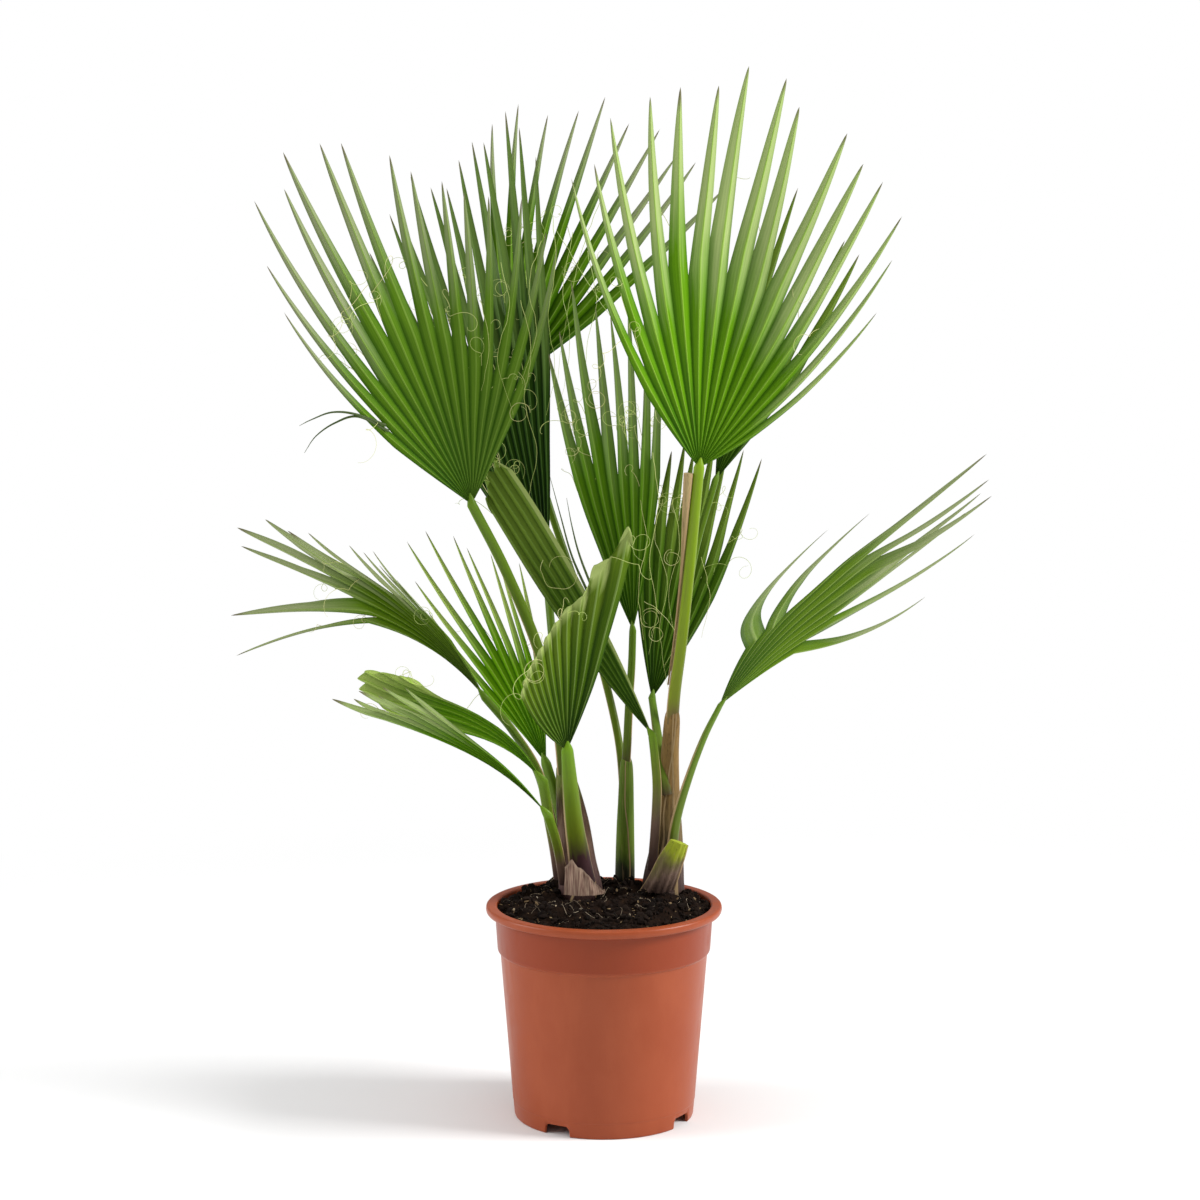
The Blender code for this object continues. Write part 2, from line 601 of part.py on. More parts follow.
def notch_cutter(angle):
    """A block across the foot ring, with chamfered upper corners, at an angle from the front."""
    outward = np.array((math.sin(angle), -math.cos(angle), 0.0))
    aside = np.array((math.cos(angle), math.sin(angle), 0.0))
    half = NOTCH_WIDTH / 2
    inner = half - NOTCH_CORNER
    shoulder = NOTCH_HEIGHT - NOTCH_CORNER
    outline = ((-half, -0.002), (half, -0.002), (half, shoulder), (inner, NOTCH_HEIGHT),
               (-inner, NOTCH_HEIGHT), (-half, shoulder))
    points = []
    for reach in (FOOT_INNER_RADIUS - 0.008, BASE_RADIUS + 0.006):
        for side, height in outline:
            points.append(reach * outward + side * aside + np.array((0.0, 0.0, height)))
    faces = [tuple(range(6)), tuple(reversed(range(6, 12)))]
    faces += [(step, (step + 1) % 6, (step + 1) % 6 + 6, step + 6) for step in range(6)]
    return solid("tool", points, faces)


def soil_height(x, y):
    """Height of the soil: a low heap with rounded lumps, level with the pot's lip at its edge."""
    edge = min(1.0, math.hypot(x, y) / SOIL_RADIUS)
    lumps = math.sin(LUMP_WAVES[0] * x + LUMP_PHASES[0]) * math.sin(LUMP_WAVES[1] * y + LUMP_PHASES[1])
    small = SMALL_LUMP_WAVES[0] * x + SMALL_LUMP_WAVES[1] * y + LUMP_PHASES[2]
    lumps += SMALL_LUMP_SHARE * math.sin(small)
    beside = math.hypot(x - HUSK_MIDDLE[0], y + HUSK_RADIUS - HUSK_MIDDLE[1]) / HUSK_RADIUS
    dip = HUSK_DIP * math.exp(-beside ** 2)
    calmer = 1 - CALM_EDGE * edge ** 4
    return SOIL_RIM_HEIGHT + SOIL_HEAP * (1 - edge ** 3) + SOIL_LUMP * lumps * calmer - dip


def make_soil():
    """The root ball: it fills the pot to its wall, with a lumpy top and holes for the stems."""
    _, inside, floor_top = pot_profile()
    wall = [(radius - GAP, height) for radius, height in reversed(inside) if height < SOIL_RIM_HEIGHT - 0.005]
    slope = (inside[1][0] - inside[2][0]) / (inside[1][1] - inside[2][1])
    rim_radius = inside[2][0] + slope * (SOIL_RIM_HEIGHT - inside[2][1]) - 3 * GAP
    wall[0] = (wall[0][0], floor_top + GAP)
    points = [(0.0, 0.0, floor_top + GAP)]
    rows = list(wall) + [(rim_radius * (SOIL_RINGS - ring) / SOIL_RINGS, None) for ring in range(SOIL_RINGS)]
    for radius, height in rows:
        for side in range(POT_SIDES):
            angle = 2 * math.pi * side / POT_SIDES
            x, y = radius * math.cos(angle), radius * math.sin(angle)
            points.append((x, y, soil_height(x, y) if height is None else height))
    points.append((0.0, 0.0, soil_height(0.0, 0.0)))
    faces = []
    for side in range(POT_SIDES):
        after = (side + 1) % POT_SIDES
        faces.append((0, 1 + after, 1 + side))
        top = 1 + (len(rows) - 1) * POT_SIDES
        faces.append((top + side, top + after, len(points) - 1))
        for row in range(len(rows) - 1):
            low = 1 + row * POT_SIDES
            faces.append((low + side, low + after, low + POT_SIDES + after, low + POT_SIDES + side))
    soil = solid("soil", points, faces, material("peat", PEAT, 0.95))
    for rings in (*STEMS.values(), STUB):
        combine(soil, stem("tool", rings, SOCKET_GAP), "DIFFERENCE")
    shade_round(soil, 60)


clear_scene()
make_pot()
make_soil()
make_stems()
make_trim()
make_fronds()
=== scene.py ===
"""Looks of a potted Mexican fan palm: three young palms in one terracotta-coloured nursery pot.

Metres, +Z up, -Y to the front. The origin is the middle of the pot's foot. Sections follow the
order in which the plant is put together: pot, soil, stems, fronds, threads, then the studio.
"""

import math
import random

import bpy
import numpy as np
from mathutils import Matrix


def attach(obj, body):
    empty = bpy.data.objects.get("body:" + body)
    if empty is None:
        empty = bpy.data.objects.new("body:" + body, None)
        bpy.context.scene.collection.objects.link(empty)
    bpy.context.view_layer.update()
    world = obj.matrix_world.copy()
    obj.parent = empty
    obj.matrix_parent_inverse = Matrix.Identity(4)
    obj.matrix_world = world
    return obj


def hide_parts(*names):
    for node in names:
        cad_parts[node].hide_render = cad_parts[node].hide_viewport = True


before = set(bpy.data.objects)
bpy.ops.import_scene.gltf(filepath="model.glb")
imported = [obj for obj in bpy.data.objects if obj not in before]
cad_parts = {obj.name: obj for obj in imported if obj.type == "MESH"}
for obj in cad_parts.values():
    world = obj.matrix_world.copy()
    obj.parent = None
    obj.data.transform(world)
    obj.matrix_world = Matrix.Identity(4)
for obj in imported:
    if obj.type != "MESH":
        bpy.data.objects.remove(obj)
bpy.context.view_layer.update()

# Pot. A 21 cm nursery pot, injection-moulded in one shot from terracotta-coloured plastic. Its rolled lip
# stiffens the mouth, the collar stands out above a small step, and four gaps in the foot let water out.
LIP_RADIUS = 0.105
LIP_TOP = 0.191
LIP_BOTTOM = 0.1835
COLLAR_TOP_RADIUS = 0.0968
COLLAR_BOTTOM_RADIUS = 0.0946
COLLAR_BOTTOM = 0.150
BODY_TOP_RADIUS = 0.0922
BASE_RADIUS = 0.0800
WALL = 0.0018
SKIRT = 0.0026
FLOOR_UNDERSIDE = 0.010
FLOOR_TOP = 0.012
MOULD_LINE = 0.0145
MOULD_STEP = 0.0003
POT_COLUMNS = 216
NOTCH_ANGLES = (-31, 59, 149, 239)
NOTCH_OUTLINE = ((-0.0128, 0.0), (-0.0122, 0.0062), (-0.0095, 0.0093), (0.0095, 0.0093), (0.0122, 0.0062),
                 (0.0128, 0.0))
DRAIN_RADIUS = 0.004
DRAIN_CIRCLE = 0.045
DRAIN_COUNT = 6
TERRACOTTA = (0.298, 0.056, 0.016, 1)
TERRACOTTA_WORN = (0.360, 0.082, 0.030, 1)
# Painted shade: the darker colour painted on the collar under the lip
COLLAR_PAINTED_SHADE = (0.225, 0.028, 0.004, 1)


def grid_faces(rows, columns, wrapped=True):
    """Quads between the rows of a grid; wrapped joins each row's last point to its first."""
    across = np.arange(columns if wrapped else columns - 1)
    after = (across + 1) % columns
    low = np.arange(rows - 1)[:, None] * columns
    quads = np.stack([low + across, low + after, low + columns + after, low + columns + across], axis=-1)
    return quads.reshape(-1, 4)


def closed(points, quads):
    """Merges points that coincide, so that seams and poles close, and sorts out quads that became triangles."""
    _, kept, place = np.unique(np.round(points, 7), axis=0, return_index=True, return_inverse=True)
    quads = place.reshape(-1)[quads]
    same = quads == np.roll(quads, -1, axis=1)
    whole = quads[~same.any(axis=1)]
    folded = same.sum(axis=1) == 1
    order = (same[folded].argmax(axis=1)[:, None] + np.arange(1, 4)) % 4
    return kept, whole, np.take_along_axis(quads[folded], order, axis=1)


def volume(points, corners):
    """Six times the volume under triangles: the sum of each one's corners as a triple product."""
    first, second, third = (points[corners[:, index]] for index in range(3))
    return float((first * np.cross(second, third)).sum())


def build(name, parts, sharp=40):
    """One object from parts of (points, quads, material, marks). Marks are numbers a point, by name."""
    points, loops, sizes, finishes, marks = [], [], [], [], {}
    total = 0
    for number, (grid, quads, _, notes) in enumerate(parts):
        kept, whole, triangles = closed(grid, quads)
        own = grid[kept]
        size = volume(own, whole[:, :3]) + volume(own, whole[:, [0, 2, 3]]) + volume(own, triangles)
        turn = -1 if size < 0 else 1
        for faces in (whole, triangles):
            loops.append((faces[:, ::turn] + total).ravel())
            sizes.append(np.full(len(faces), faces.shape[1]))
            finishes.append(np.full(len(faces), number))
        for key, values in notes.items():
            marks.setdefault(key, []).append((total, values.reshape(-1)[kept]))
        points.append(own)
        total += len(own)
    loops, sizes, finishes = (np.concatenate(part).astype(np.int32) for part in (loops, sizes, finishes))
    mesh = bpy.data.meshes.new(name)
    mesh.vertices.add(total)
    mesh.vertices.foreach_set("co", np.concatenate(points).astype(np.float32).ravel())
    mesh.loops.add(len(loops))
    mesh.loops.foreach_set("vertex_index", loops)
    mesh.polygons.add(len(sizes))
    mesh.polygons.foreach_set("loop_start", np.cumsum(sizes) - sizes)
    for _, _, finish, _ in parts:
        mesh.materials.append(finish)
    mesh.polygons.foreach_set("material_index", finishes)
    mesh.update(calc_edges=True)
    for key, spans in marks.items():
        values = np.zeros(total, np.float32)
        for start, own in spans:
            values[start:start + len(own)] = own
        mesh.attributes.new(key, "FLOAT", "POINT").data.foreach_set("value", values)
    mesh.shade_smooth()
    mesh.set_sharp_from_angle(angle=math.radians(sharp))
    made = bpy.data.objects.new(name, mesh)
    bpy.context.scene.collection.objects.link(made)
    return made


def new_finish(name, roughness, **even):
    """A Principled material, with the sockets that are the same all over its surface."""
    made = bpy.data.materials.new(name)
    made.use_nodes = True
    shader = made.node_tree.nodes["Principled BSDF"]
    shader.inputs["Roughness"].default_value = roughness
    for socket, value in even.items():
        shader.inputs[socket.replace("_", " ")].default_value = value
    return made, made.node_tree, shader


def node(tree, kind, inputs, **settings):
    """A shader node with its settings, and its inputs joined to sockets or set to values."""
    made = tree.nodes.new("ShaderNode" + kind)
    for key, value in settings.items():
        setattr(made, key, value)
    for key, value in inputs.items():
        if isinstance(value, bpy.types.NodeSocket):
            tree.links.new(value, made.inputs[key])
        else:
            made.inputs[key].default_value = value
    return made


def mark(tree, name):
    """The number a point that the mesh carries under this name."""
    return node(tree, "Attribute", {}, attribute_name=name).outputs["Fac"]


def ramp(tree, factor, *stops):
    """Colours along a factor, each stop a place and a colour."""
    made = node(tree, "ValToRGB", {"Fac": factor})
    elements = made.color_ramp.elements
    while len(elements) < len(stops):
        elements.new(0.5)
    for element, (place, colour) in zip(elements, stops):
        element.position = place
        element.color = colour
    return made.outputs["Color"]


def span(tree, value, low, high, start=0.0, end=1.0):
    """The value's place between low and high, eased, as a number from start to end."""
    settings = {"Value": value, "From Min": low, "From Max": high, "To Min": start, "To Max": end}
    return node(tree, "MapRange", settings, interpolation_type="SMOOTHSTEP").outputs["Result"]


def sums(tree, operation, *values):
    """A Math node's result for one to three values or sockets."""
    return node(tree, "Math", dict(enumerate(values)), operation=operation).outputs["Value"]


def mixed(tree, factor, first, second, way="MIX"):
    """Two colours mixed by a factor."""
    inputs = {0: factor, 6: first, 7: second}
    return node(tree, "Mix", inputs, data_type="RGBA", blend_type=way).outputs[2]


def grain(tree, where, size, detail=3.0, rough=0.55):
    """Soft noise of a given size in metres, from 0 to 1."""
    inputs = {"Vector": where, "Scale": 1 / size, "Detail": detail, "Roughness": rough}
    return node(tree, "TexNoise", inputs).outputs["Fac"]


def stretched(tree, scale):
    """Object coordinates scaled along each axis, to draw a grain out."""
    place = node(tree, "TexCoord", {}).outputs["Object"]
    return node(tree, "Mapping", {"Vector": place, "Scale": scale}).outputs["Vector"]


def raise_bumps(tree, shader, height, depth, strength=1.0):
    """Bumps of a depth in metres under the shader's surface."""
    bump = node(tree, "Bump", {"Height": height, "Distance": depth, "Strength": strength})
    tree.links.new(bump.outputs["Normal"], shader.inputs["Normal"])


def fit(made, slot, *nodes):
    """The piece rides on the plant's one body and stands for these nodes; the slot is not used."""
    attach(made, "root")
    if nodes:
        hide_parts(*nodes)
    return made


def rounded(corners, cut, steps=5):
    """A closed outline whose corners are curves: each runs from cut before its corner to cut after it."""
    corners = np.array(corners, float)
    ends = []
    for way in (1, -1):
        aside = np.roll(corners, way, axis=0) - corners
        length = np.linalg.norm(aside, axis=1, keepdims=True)
        ends.append(corners + aside * np.minimum(cut / np.maximum(length, 1e-9), 0.45))
    t = np.linspace(0, 1, steps)[None, :, None]
    curve = (1 - t) ** 2 * ends[0][:, None] + 2 * t * (1 - t) * corners[:, None] + t ** 2 * ends[1][:, None]
    return curve.reshape(-1, 2)


def plastic_finish():
    """Satin terracotta-coloured plastic: even, a little paler where it is scuffed, with a fine moulded grain, and a
    painted shade that darkens the collar under the lip.
    """
    made, tree, shader = new_finish("terracotta_plastic", 0.42, Specular_IOR_Level=0.26)
    scuffs = span(tree, grain(tree, stretched(tree, (1, 1, 0.35)), 0.018, 5, 0.6), 0.42, 0.78, 0.0, 0.45)
    cloud = span(tree, grain(tree, stretched(tree, (1, 1, 1)), 0.06), 0.3, 0.7, 0.0, 0.35)
    colour = mixed(tree, scuffs, TERRACOTTA, TERRACOTTA_WORN)
    colour = mixed(tree, cloud, colour, TERRACOTTA_WORN)
    height = node(tree, "SeparateXYZ", {"Vector": stretched(tree, (1, 1, 1))}).outputs["Z"]
    # Painted shade: the collar band from the step up to the lip is darkened, as if shaded by the lip
    lip_shadow_band = sums(tree, "MULTIPLY", span(tree, height, COLLAR_BOTTOM - 0.001, COLLAR_BOTTOM + 0.002),
                     span(tree, height, LIP_BOTTOM, LIP_BOTTOM - 0.001, 0.0, 0.7))
    tree.links.new(mixed(tree, lip_shadow_band, colour, COLLAR_PAINTED_SHADE), shader.inputs["Base Color"])
    tree.links.new(span(tree, scuffs, 0.0, 0.45, 0.36, 0.50), shader.inputs["Roughness"])
    fine = grain(tree, stretched(tree, (1, 1, 1)), 0.0012, 2)
    raise_bumps(tree, shader, fine, 0.00006)
    return made


def notch_rise(angles):
    """How far the foot's lower edge rises at each angle: the outline of the nearest notch."""
    aside = (np.degrees(angles)[:, None] + 90 - np.array(NOTCH_ANGLES) + 180) % 360 - 180
    nearest = np.take_along_axis(aside, np.abs(aside).argmin(axis=1)[:, None], axis=1)[:, 0]
    places, heights = zip(*NOTCH_OUTLINE)
    return np.interp(np.radians(nearest) * BASE_RADIUS, places, heights)


def pot_surface():
    """The wall's outline turned round +Z; below the floor its rows close up towards the notches' edges."""
    outline = rounded([
        (BASE_RADIUS - SKIRT, 0.0), (BASE_RADIUS, 0.0), (BASE_RADIUS + 0.0012, MOULD_LINE - 0.0003),
        (BASE_RADIUS + 0.0012 + MOULD_STEP, MOULD_LINE), (BODY_TOP_RADIUS, COLLAR_BOTTOM - 0.0012),
        (COLLAR_BOTTOM_RADIUS, COLLAR_BOTTOM), (COLLAR_TOP_RADIUS, LIP_BOTTOM + 0.0004),
        (LIP_RADIUS - 0.0016, LIP_BOTTOM), (LIP_RADIUS, LIP_BOTTOM + 0.0030), (LIP_RADIUS - 0.0006, LIP_TOP),
        (COLLAR_TOP_RADIUS - WALL, LIP_TOP), (COLLAR_TOP_RADIUS - WALL, LIP_BOTTOM),
        (COLLAR_BOTTOM_RADIUS - WALL, COLLAR_BOTTOM + WALL), (BODY_TOP_RADIUS - WALL, COLLAR_BOTTOM - 0.001),
        (BASE_RADIUS - WALL, FLOOR_TOP),
    ], 0.0022)
    under = [(0.0, FLOOR_TOP), (0.0, FLOOR_UNDERSIDE), (BASE_RADIUS - SKIRT, FLOOR_UNDERSIDE)]
    outline = np.concatenate([outline, under, outline[:1]])
    edges = [place / BASE_RADIUS for place, _ in NOTCH_OUTLINE]
    notches = [math.radians(angle - 90) + edge for angle in NOTCH_ANGLES for edge in edges]
    angles = np.unique(np.concatenate([np.linspace(-math.pi, math.pi, POT_COLUMNS, endpoint=False),
                                       (np.array(notches) + math.pi) % (2 * math.pi) - math.pi]))
    radius, height = outline[:, :1], outline[:, 1:]
    share = np.clip(1 - height / FLOOR_UNDERSIDE, 0, 1)
    height = height + notch_rise(angles) * share
    points = np.stack([radius * np.cos(angles), radius * np.sin(angles), height], axis=-1)
    return points.reshape(-1, 3), grid_faces(len(outline), len(angles))


def posts(places, radius, low, high, sides=24):
    """Upright round posts at places: circles at the low and high ends, closed at their middles."""
    angles = np.linspace(0, 2 * math.pi, sides, endpoint=False)
    ring = np.stack([np.cos(angles), np.sin(angles), 0 * angles], axis=-1)
    rows = np.array([0, radius, radius, 0])[:, None, None] * ring
    rows[..., 2] = np.array([low, low, high, high])[:, None]
    points = rows + np.array([(x, y, 0.0) for x, y in places])[:, None, None, :]
    quads = grid_faces(4, sides)
    return points.reshape(-1, 3), np.concatenate([quads + number * 4 * sides for number in range(len(places))])


def cut_away(made, tool, sharp):
    """Cuts the tool out of the piece for good, and removes the tool."""
    cut = made.modifiers.new("cut", "BOOLEAN")
    cut.operation = "DIFFERENCE"
    cut.object = tool
    mesh = bpy.data.meshes.new_from_object(made.evaluated_get(bpy.context.evaluated_depsgraph_get()))
    made.modifiers.clear()
    made.data = mesh
    mesh.shade_smooth()
    mesh.set_sharp_from_angle(angle=math.radians(sharp))
    bpy.data.objects.remove(tool)


plastic = plastic_finish()
pot = build("nursery_pot", [(*pot_surface(), plastic, {})], 35)
drain_turns = np.radians(np.arange(DRAIN_COUNT) * 360 / DRAIN_COUNT)
drains = [(DRAIN_CIRCLE * math.cos(turn), DRAIN_CIRCLE * math.sin(turn)) for turn in drain_turns]
cutter = build("drain_cutter", [(*posts(drains, DRAIN_RADIUS, 0.004, 0.018), plastic, {})])
cut_away(pot, cutter, 35)
fit(pot, "terracotta", "pot")

# Soil. The root ball is dark peat that fills the pot to just under its lip and heaps up round the stems. It is
# crumbly, with pale wood chips and fibres, a few white perlite grains and fine dead roots lying on top.
SOIL_RIM_HEIGHT = 0.186
SOIL_HEAP = 0.012
SOIL_LUMP = 0.0045
SOIL_RADIUS = 0.095
RIM_RADIUS = 0.0944
HUSK_DIP = 0.010
LUMP_WAVES = (131, 117)
SMALL_LUMP_WAVES = (211, -163)
SMALL_LUMP_SHARE = 0.6
HUSK_MIDDLE = (-0.019, 0.030)
HUSK_RADIUS = 0.0290
CLODS = ((0.011, 0.0015), (0.0050, 0.0013), (0.0024, 0.0007))
SOIL_COLUMNS = 300
SOIL_RINGS = 84
STEM_FEET = ((-0.020, 0.030, 0.021), (0.019, 0.070, 0.010), (0.053, 0.040, 0.021), (0.056, 0.018, 0.012))
CRUMBS = 2600
CLOD_LUMPS = 150
CHIPS = 260
PERLITE = 34
LOOSE_ROOTS = 60
PEAT_DARK = (0.0030, 0.0012, 0.0006, 1)
PEAT_BROWN = (0.015, 0.0075, 0.0042, 1)
CHIP_DARK = (0.055, 0.028, 0.012, 1)
CHIP_PALE = (0.30, 0.21, 0.11, 1)
PERLITE_WHITE = (0.62, 0.60, 0.54, 1)
ROOT_PALE = (0.40, 0.33, 0.24, 1)
# Two dead roots that lie over the front of the soil: places along them, then how thick they are
LONG_ROOTS = (
    (((-0.0365, -0.0100), (-0.0385, -0.0250), (-0.0365, -0.0440), (-0.0320, -0.0560)), 0.00042),
    (((-0.0350, -0.0240), (-0.0270, -0.0400), (-0.0190, -0.0600), (-0.0080, -0.0680)), 0.00048),
    (((-0.0190, -0.0600), (-0.0240, -0.0660), (-0.0300, -0.0720)), 0.00030),
    (((-0.0430, -0.0330), (-0.0400, -0.0270), (-0.0350, -0.0180)), 0.00030),
)


def ripple(points, size, seed):
    """Smooth noise from -1 to 1: random numbers at the corners of cubes of this size, blended inside each."""
    scaled = points / size
    cell = np.floor(scaled).astype(np.int64)
    part = scaled - cell
    part = part * part * (3 - 2 * part)
    total = np.zeros(points.shape[:-1])
    for corner in np.ndindex(2, 2, 2):
        key = ((cell + corner) * (73856093, 19349663, 83492791)).sum(axis=-1) + seed * 1013904223 & 0xFFFFFFFF
        key = (key ^ key >> 15) * 2246822519 & 0xFFFFFFFF
        key = (key ^ key >> 13) * 3266489917 & 0xFFFFFFFF
        weight = np.where(corner, part, 1 - part).prod(axis=-1)
        total += weight * (key / 0x7FFFFFFF - 1)
    return total


def soil_height(x, y):
    """Height of the soil: a low heap with rounded lumps and a dip by the husk, roughened by clods of each size."""
    edge = np.minimum(1, np.hypot(x, y) / SOIL_RADIUS)
    lumps = np.sin(LUMP_WAVES[0] * x + 1.3) * np.sin(LUMP_WAVES[1] * y + 0.4)
    lumps += SMALL_LUMP_SHARE * np.sin(SMALL_LUMP_WAVES[0] * x + SMALL_LUMP_WAVES[1] * y + 2.0)
    beside = np.hypot(x - HUSK_MIDDLE[0], y + HUSK_RADIUS - HUSK_MIDDLE[1]) / HUSK_RADIUS
    dip = HUSK_DIP * np.exp(-beside ** 2)
    height = SOIL_RIM_HEIGHT + SOIL_HEAP * (1 - edge ** 3) + SOIL_LUMP * lumps * (1 - 0.6 * edge ** 4) - dip
    places = np.stack([x, y, 0 * x], axis=-1)
    for seed, (size, depth) in enumerate(CLODS):
        height = height + depth * ripple(places, size, seed)
    return height


def soil_surface():
    """Rings from the middle of the foot out to the wall, up it, and in again over the top to its middle."""
    angles = np.linspace(0, 2 * math.pi, SOIL_COLUMNS, endpoint=False)
    low = FLOOR_TOP + 0.0003
    wall = np.array([(0.0, low), (0.05, low), (0.0770, low), (0.0779, low + 0.003), (0.0900, 0.147),
                     (0.0924, 0.153), (0.0940, 0.176)])
    tops = RIM_RADIUS * (1 - np.linspace(0, 1, SOIL_RINGS) ** 1.1)
    radius = np.concatenate([wall[:, 0], tops])[:, None]
    x, y = radius * np.cos(angles), radius * np.sin(angles)
    height = np.concatenate([np.repeat(wall[:, 1:], SOIL_COLUMNS, axis=1), soil_height(x, y)[len(wall):]])
    height[-1] = height[-1].mean()
    return np.stack([x, y, height], axis=-1).reshape(-1, 3), grid_faces(len(radius), SOIL_COLUMNS)


def soil_finish():
    """Moist peat: nearly black in its hollows, brown on its crumbs, rough all over."""
    made, tree, shader = new_finish("peat", 0.95, Specular_IOR_Level=0.08)
    place = stretched(tree, (1, 1, 1))
    fine = grain(tree, place, 0.0022, 6, 0.7)
    broad = grain(tree, place, 0.012, 3)
    tone = sums(tree, "MULTIPLY_ADD", broad, 0.5, sums(tree, "MULTIPLY", fine, 0.6))
    tree.links.new(ramp(tree, tone, (0.40, PEAT_DARK), (0.64, PEAT_BROWN), (0.85, CHIP_DARK)),
                   shader.inputs["Base Color"])
    raise_bumps(tree, shader, fine, 0.0012)
    return made


def toned_finish(name, dark, pale, roughness):
    """Loose bits, each with a tone of its own between dark and pale, mottled."""
    made, tree, shader = new_finish(name, roughness, Specular_IOR_Level=0.15)
    mottle = grain(tree, stretched(tree, (1, 1, 1)), 0.0015, 4)
    tone = sums(tree, "MULTIPLY_ADD", mottle, 0.5, sums(tree, "MULTIPLY_ADD", mark(tree, "tone"), 0.8, -0.2))
    tree.links.new(mixed(tree, tone, dark, pale), shader.inputs["Base Color"])
    raise_bumps(tree, shader, mottle, 0.0004)
    return made


def grit(draw, places, sizes, sunk):
    """Irregular bits: a ball of four rings, pushed in and out at random, stretched, turned and set on the soil."""
    count = len(places)
    up = np.array([-1, -0.6, 0.1, 0.7, 1])
    turn = np.linspace(0, 2 * math.pi, 6, endpoint=False)
    ring = np.sqrt(1 - up ** 2)[:, None]
    ball = np.stack([ring * np.cos(turn), ring * np.sin(turn), np.repeat(up[:, None], 6, axis=1)], axis=-1)
    push = draw.uniform(0.7, 1.25, (count, 5, 6, 1))
    push[:, [0, -1]] = push[:, [0, -1], :1]
    bits = ball * push * sizes[:, None, None, :]
    spin, lean = draw.uniform(0, 2 * math.pi, count), draw.uniform(-0.9, 0.9, count)
    cos, sin = np.cos(lean)[:, None, None], np.sin(lean)[:, None, None]
    x, z = bits[..., 0] * cos - bits[..., 2] * sin, bits[..., 0] * sin + bits[..., 2] * cos
    cos, sin = np.cos(spin)[:, None, None], np.sin(spin)[:, None, None]
    bits = np.stack([x * cos - bits[..., 1] * sin, x * sin + bits[..., 1] * cos, z], axis=-1)
    height = soil_height(places[:, 0], places[:, 1]) + sunk * sizes.mean(axis=1)
    bits += np.stack([places[:, 0], places[:, 1], height], axis=-1)[:, None, None, :]
    quads = grid_faces(5, 6) + 30 * np.arange(count)[:, None, None]
    tone = np.repeat(draw.uniform(0, 1, count), 30)
    return bits.reshape(-1, 3), quads.reshape(-1, 4), {"tone": tone}


def strewn(draw, count, reach):
    """Places strewn evenly over a disc, without those inside a stem's foot."""
    radius, turn = reach * np.sqrt(draw.uniform(0, 1, count)), draw.uniform(0, 2 * math.pi, count)
    places = np.stack([radius * np.cos(turn), radius * np.sin(turn)], axis=-1)
    feet = np.array(STEM_FEET)
    away = np.linalg.norm(places[:, None] - feet[:, :2], axis=2) - feet[:, 2]
    return places[away.min(axis=1) > 0]


def smooth_path(points, count):
    """Places along a Catmull-Rom curve through the points, evenly spaced in its parameter."""
    points = np.array(points, float)
    ends = np.concatenate([2 * points[:1] - points[1:2], points, 2 * points[-1:] - points[-2:-1]])
    step = np.linspace(0, len(points) - 1, count)
    start = np.minimum(step.astype(int), len(points) - 2)
    t = (step - start)[:, None]
    a, b, c, d = (ends[start + index] for index in range(4))
    return 0.5 * (2 * b + (c - a) * t + (2 * a - 5 * b + 4 * c - d) * t ** 2 + (3 * b - a - 3 * c + d) * t ** 3)


def tubes(paths, radii, sides, facing=(0.31, -0.9, 0.3), flat=1.0):
    """Tubes along paths (tube, place, xyz), round or flattened to the side they face, closed at both ends."""
    along = np.gradient(paths, axis=1)
    along /= np.linalg.norm(along, axis=-1, keepdims=True)
    across = np.cross(along, np.array(facing, float))
    across /= np.linalg.norm(across, axis=-1, keepdims=True)
    front = np.cross(across, along)
    turn = np.linspace(0, 2 * math.pi, sides, endpoint=False)
    ring = np.cos(turn)[:, None] * across[:, :, None] + flat * np.sin(turn)[:, None] * front[:, :, None]
    body = paths[:, :, None] + radii[..., None, None] * ring
    caps = [np.repeat(paths[:, [end], None], sides, axis=2) for end in (0, -1)]
    grid = np.concatenate([caps[0], body, caps[1]], axis=1)
    rows = grid.shape[1]
    quads = grid_faces(rows, sides) + rows * sides * np.arange(len(paths))[:, None, None]
    return grid.reshape(-1, 3), quads.reshape(-1, 4)


def root_paths(draw, count):
    """Loose roots: each sets off at random, turns steadily, and lies just above the soil with a low arch."""
    starts = strewn(draw, count, 0.080)
    count = len(starts)
    s = np.linspace(0, 1, 14)
    length = draw.uniform(0.006, 0.026, (count, 1))
    heading = draw.uniform(0, 2 * math.pi, (count, 1)) + draw.uniform(-2.5, 2.5, (count, 1)) * s
    step = length / 13 * np.stack([np.cos(heading), np.sin(heading)])
    flat = starts[:, None] + np.moveaxis(np.cumsum(step, axis=2), 0, -1)
    reach = np.linalg.norm(flat, axis=2, keepdims=True)
    flat *= np.minimum(1, 0.092 / reach)
    height = soil_height(flat[..., 0], flat[..., 1]) + 0.0004 + draw.uniform(0, 0.003, (count, 1)) * np.sin(3 * s)
    return np.concatenate([flat, height[..., None]], axis=2), draw.uniform(0.00012, 0.00028, (count, 1)) + 0 * s


peat = soil_finish()
soil = fit(build("peat_root_ball", [(*soil_surface(), peat, {})], 80), "peat", "soil")

crumb_draw = np.random.default_rng(11)
spots = strewn(crumb_draw, CRUMBS, 0.0925)
size = crumb_draw.lognormal(math.log(0.0011), 0.5, (len(spots), 1)).clip(0.0005, 0.0036)
bits = grit(crumb_draw, spots, size * crumb_draw.uniform(0.6, 1.3, (len(spots), 3)), 0.2)
crumb_finish = toned_finish("peat_crumb", PEAT_DARK, PEAT_BROWN, 0.95)
fit(build("peat_crumbs", [(*bits[:2], crumb_finish, bits[2])]), "peat")

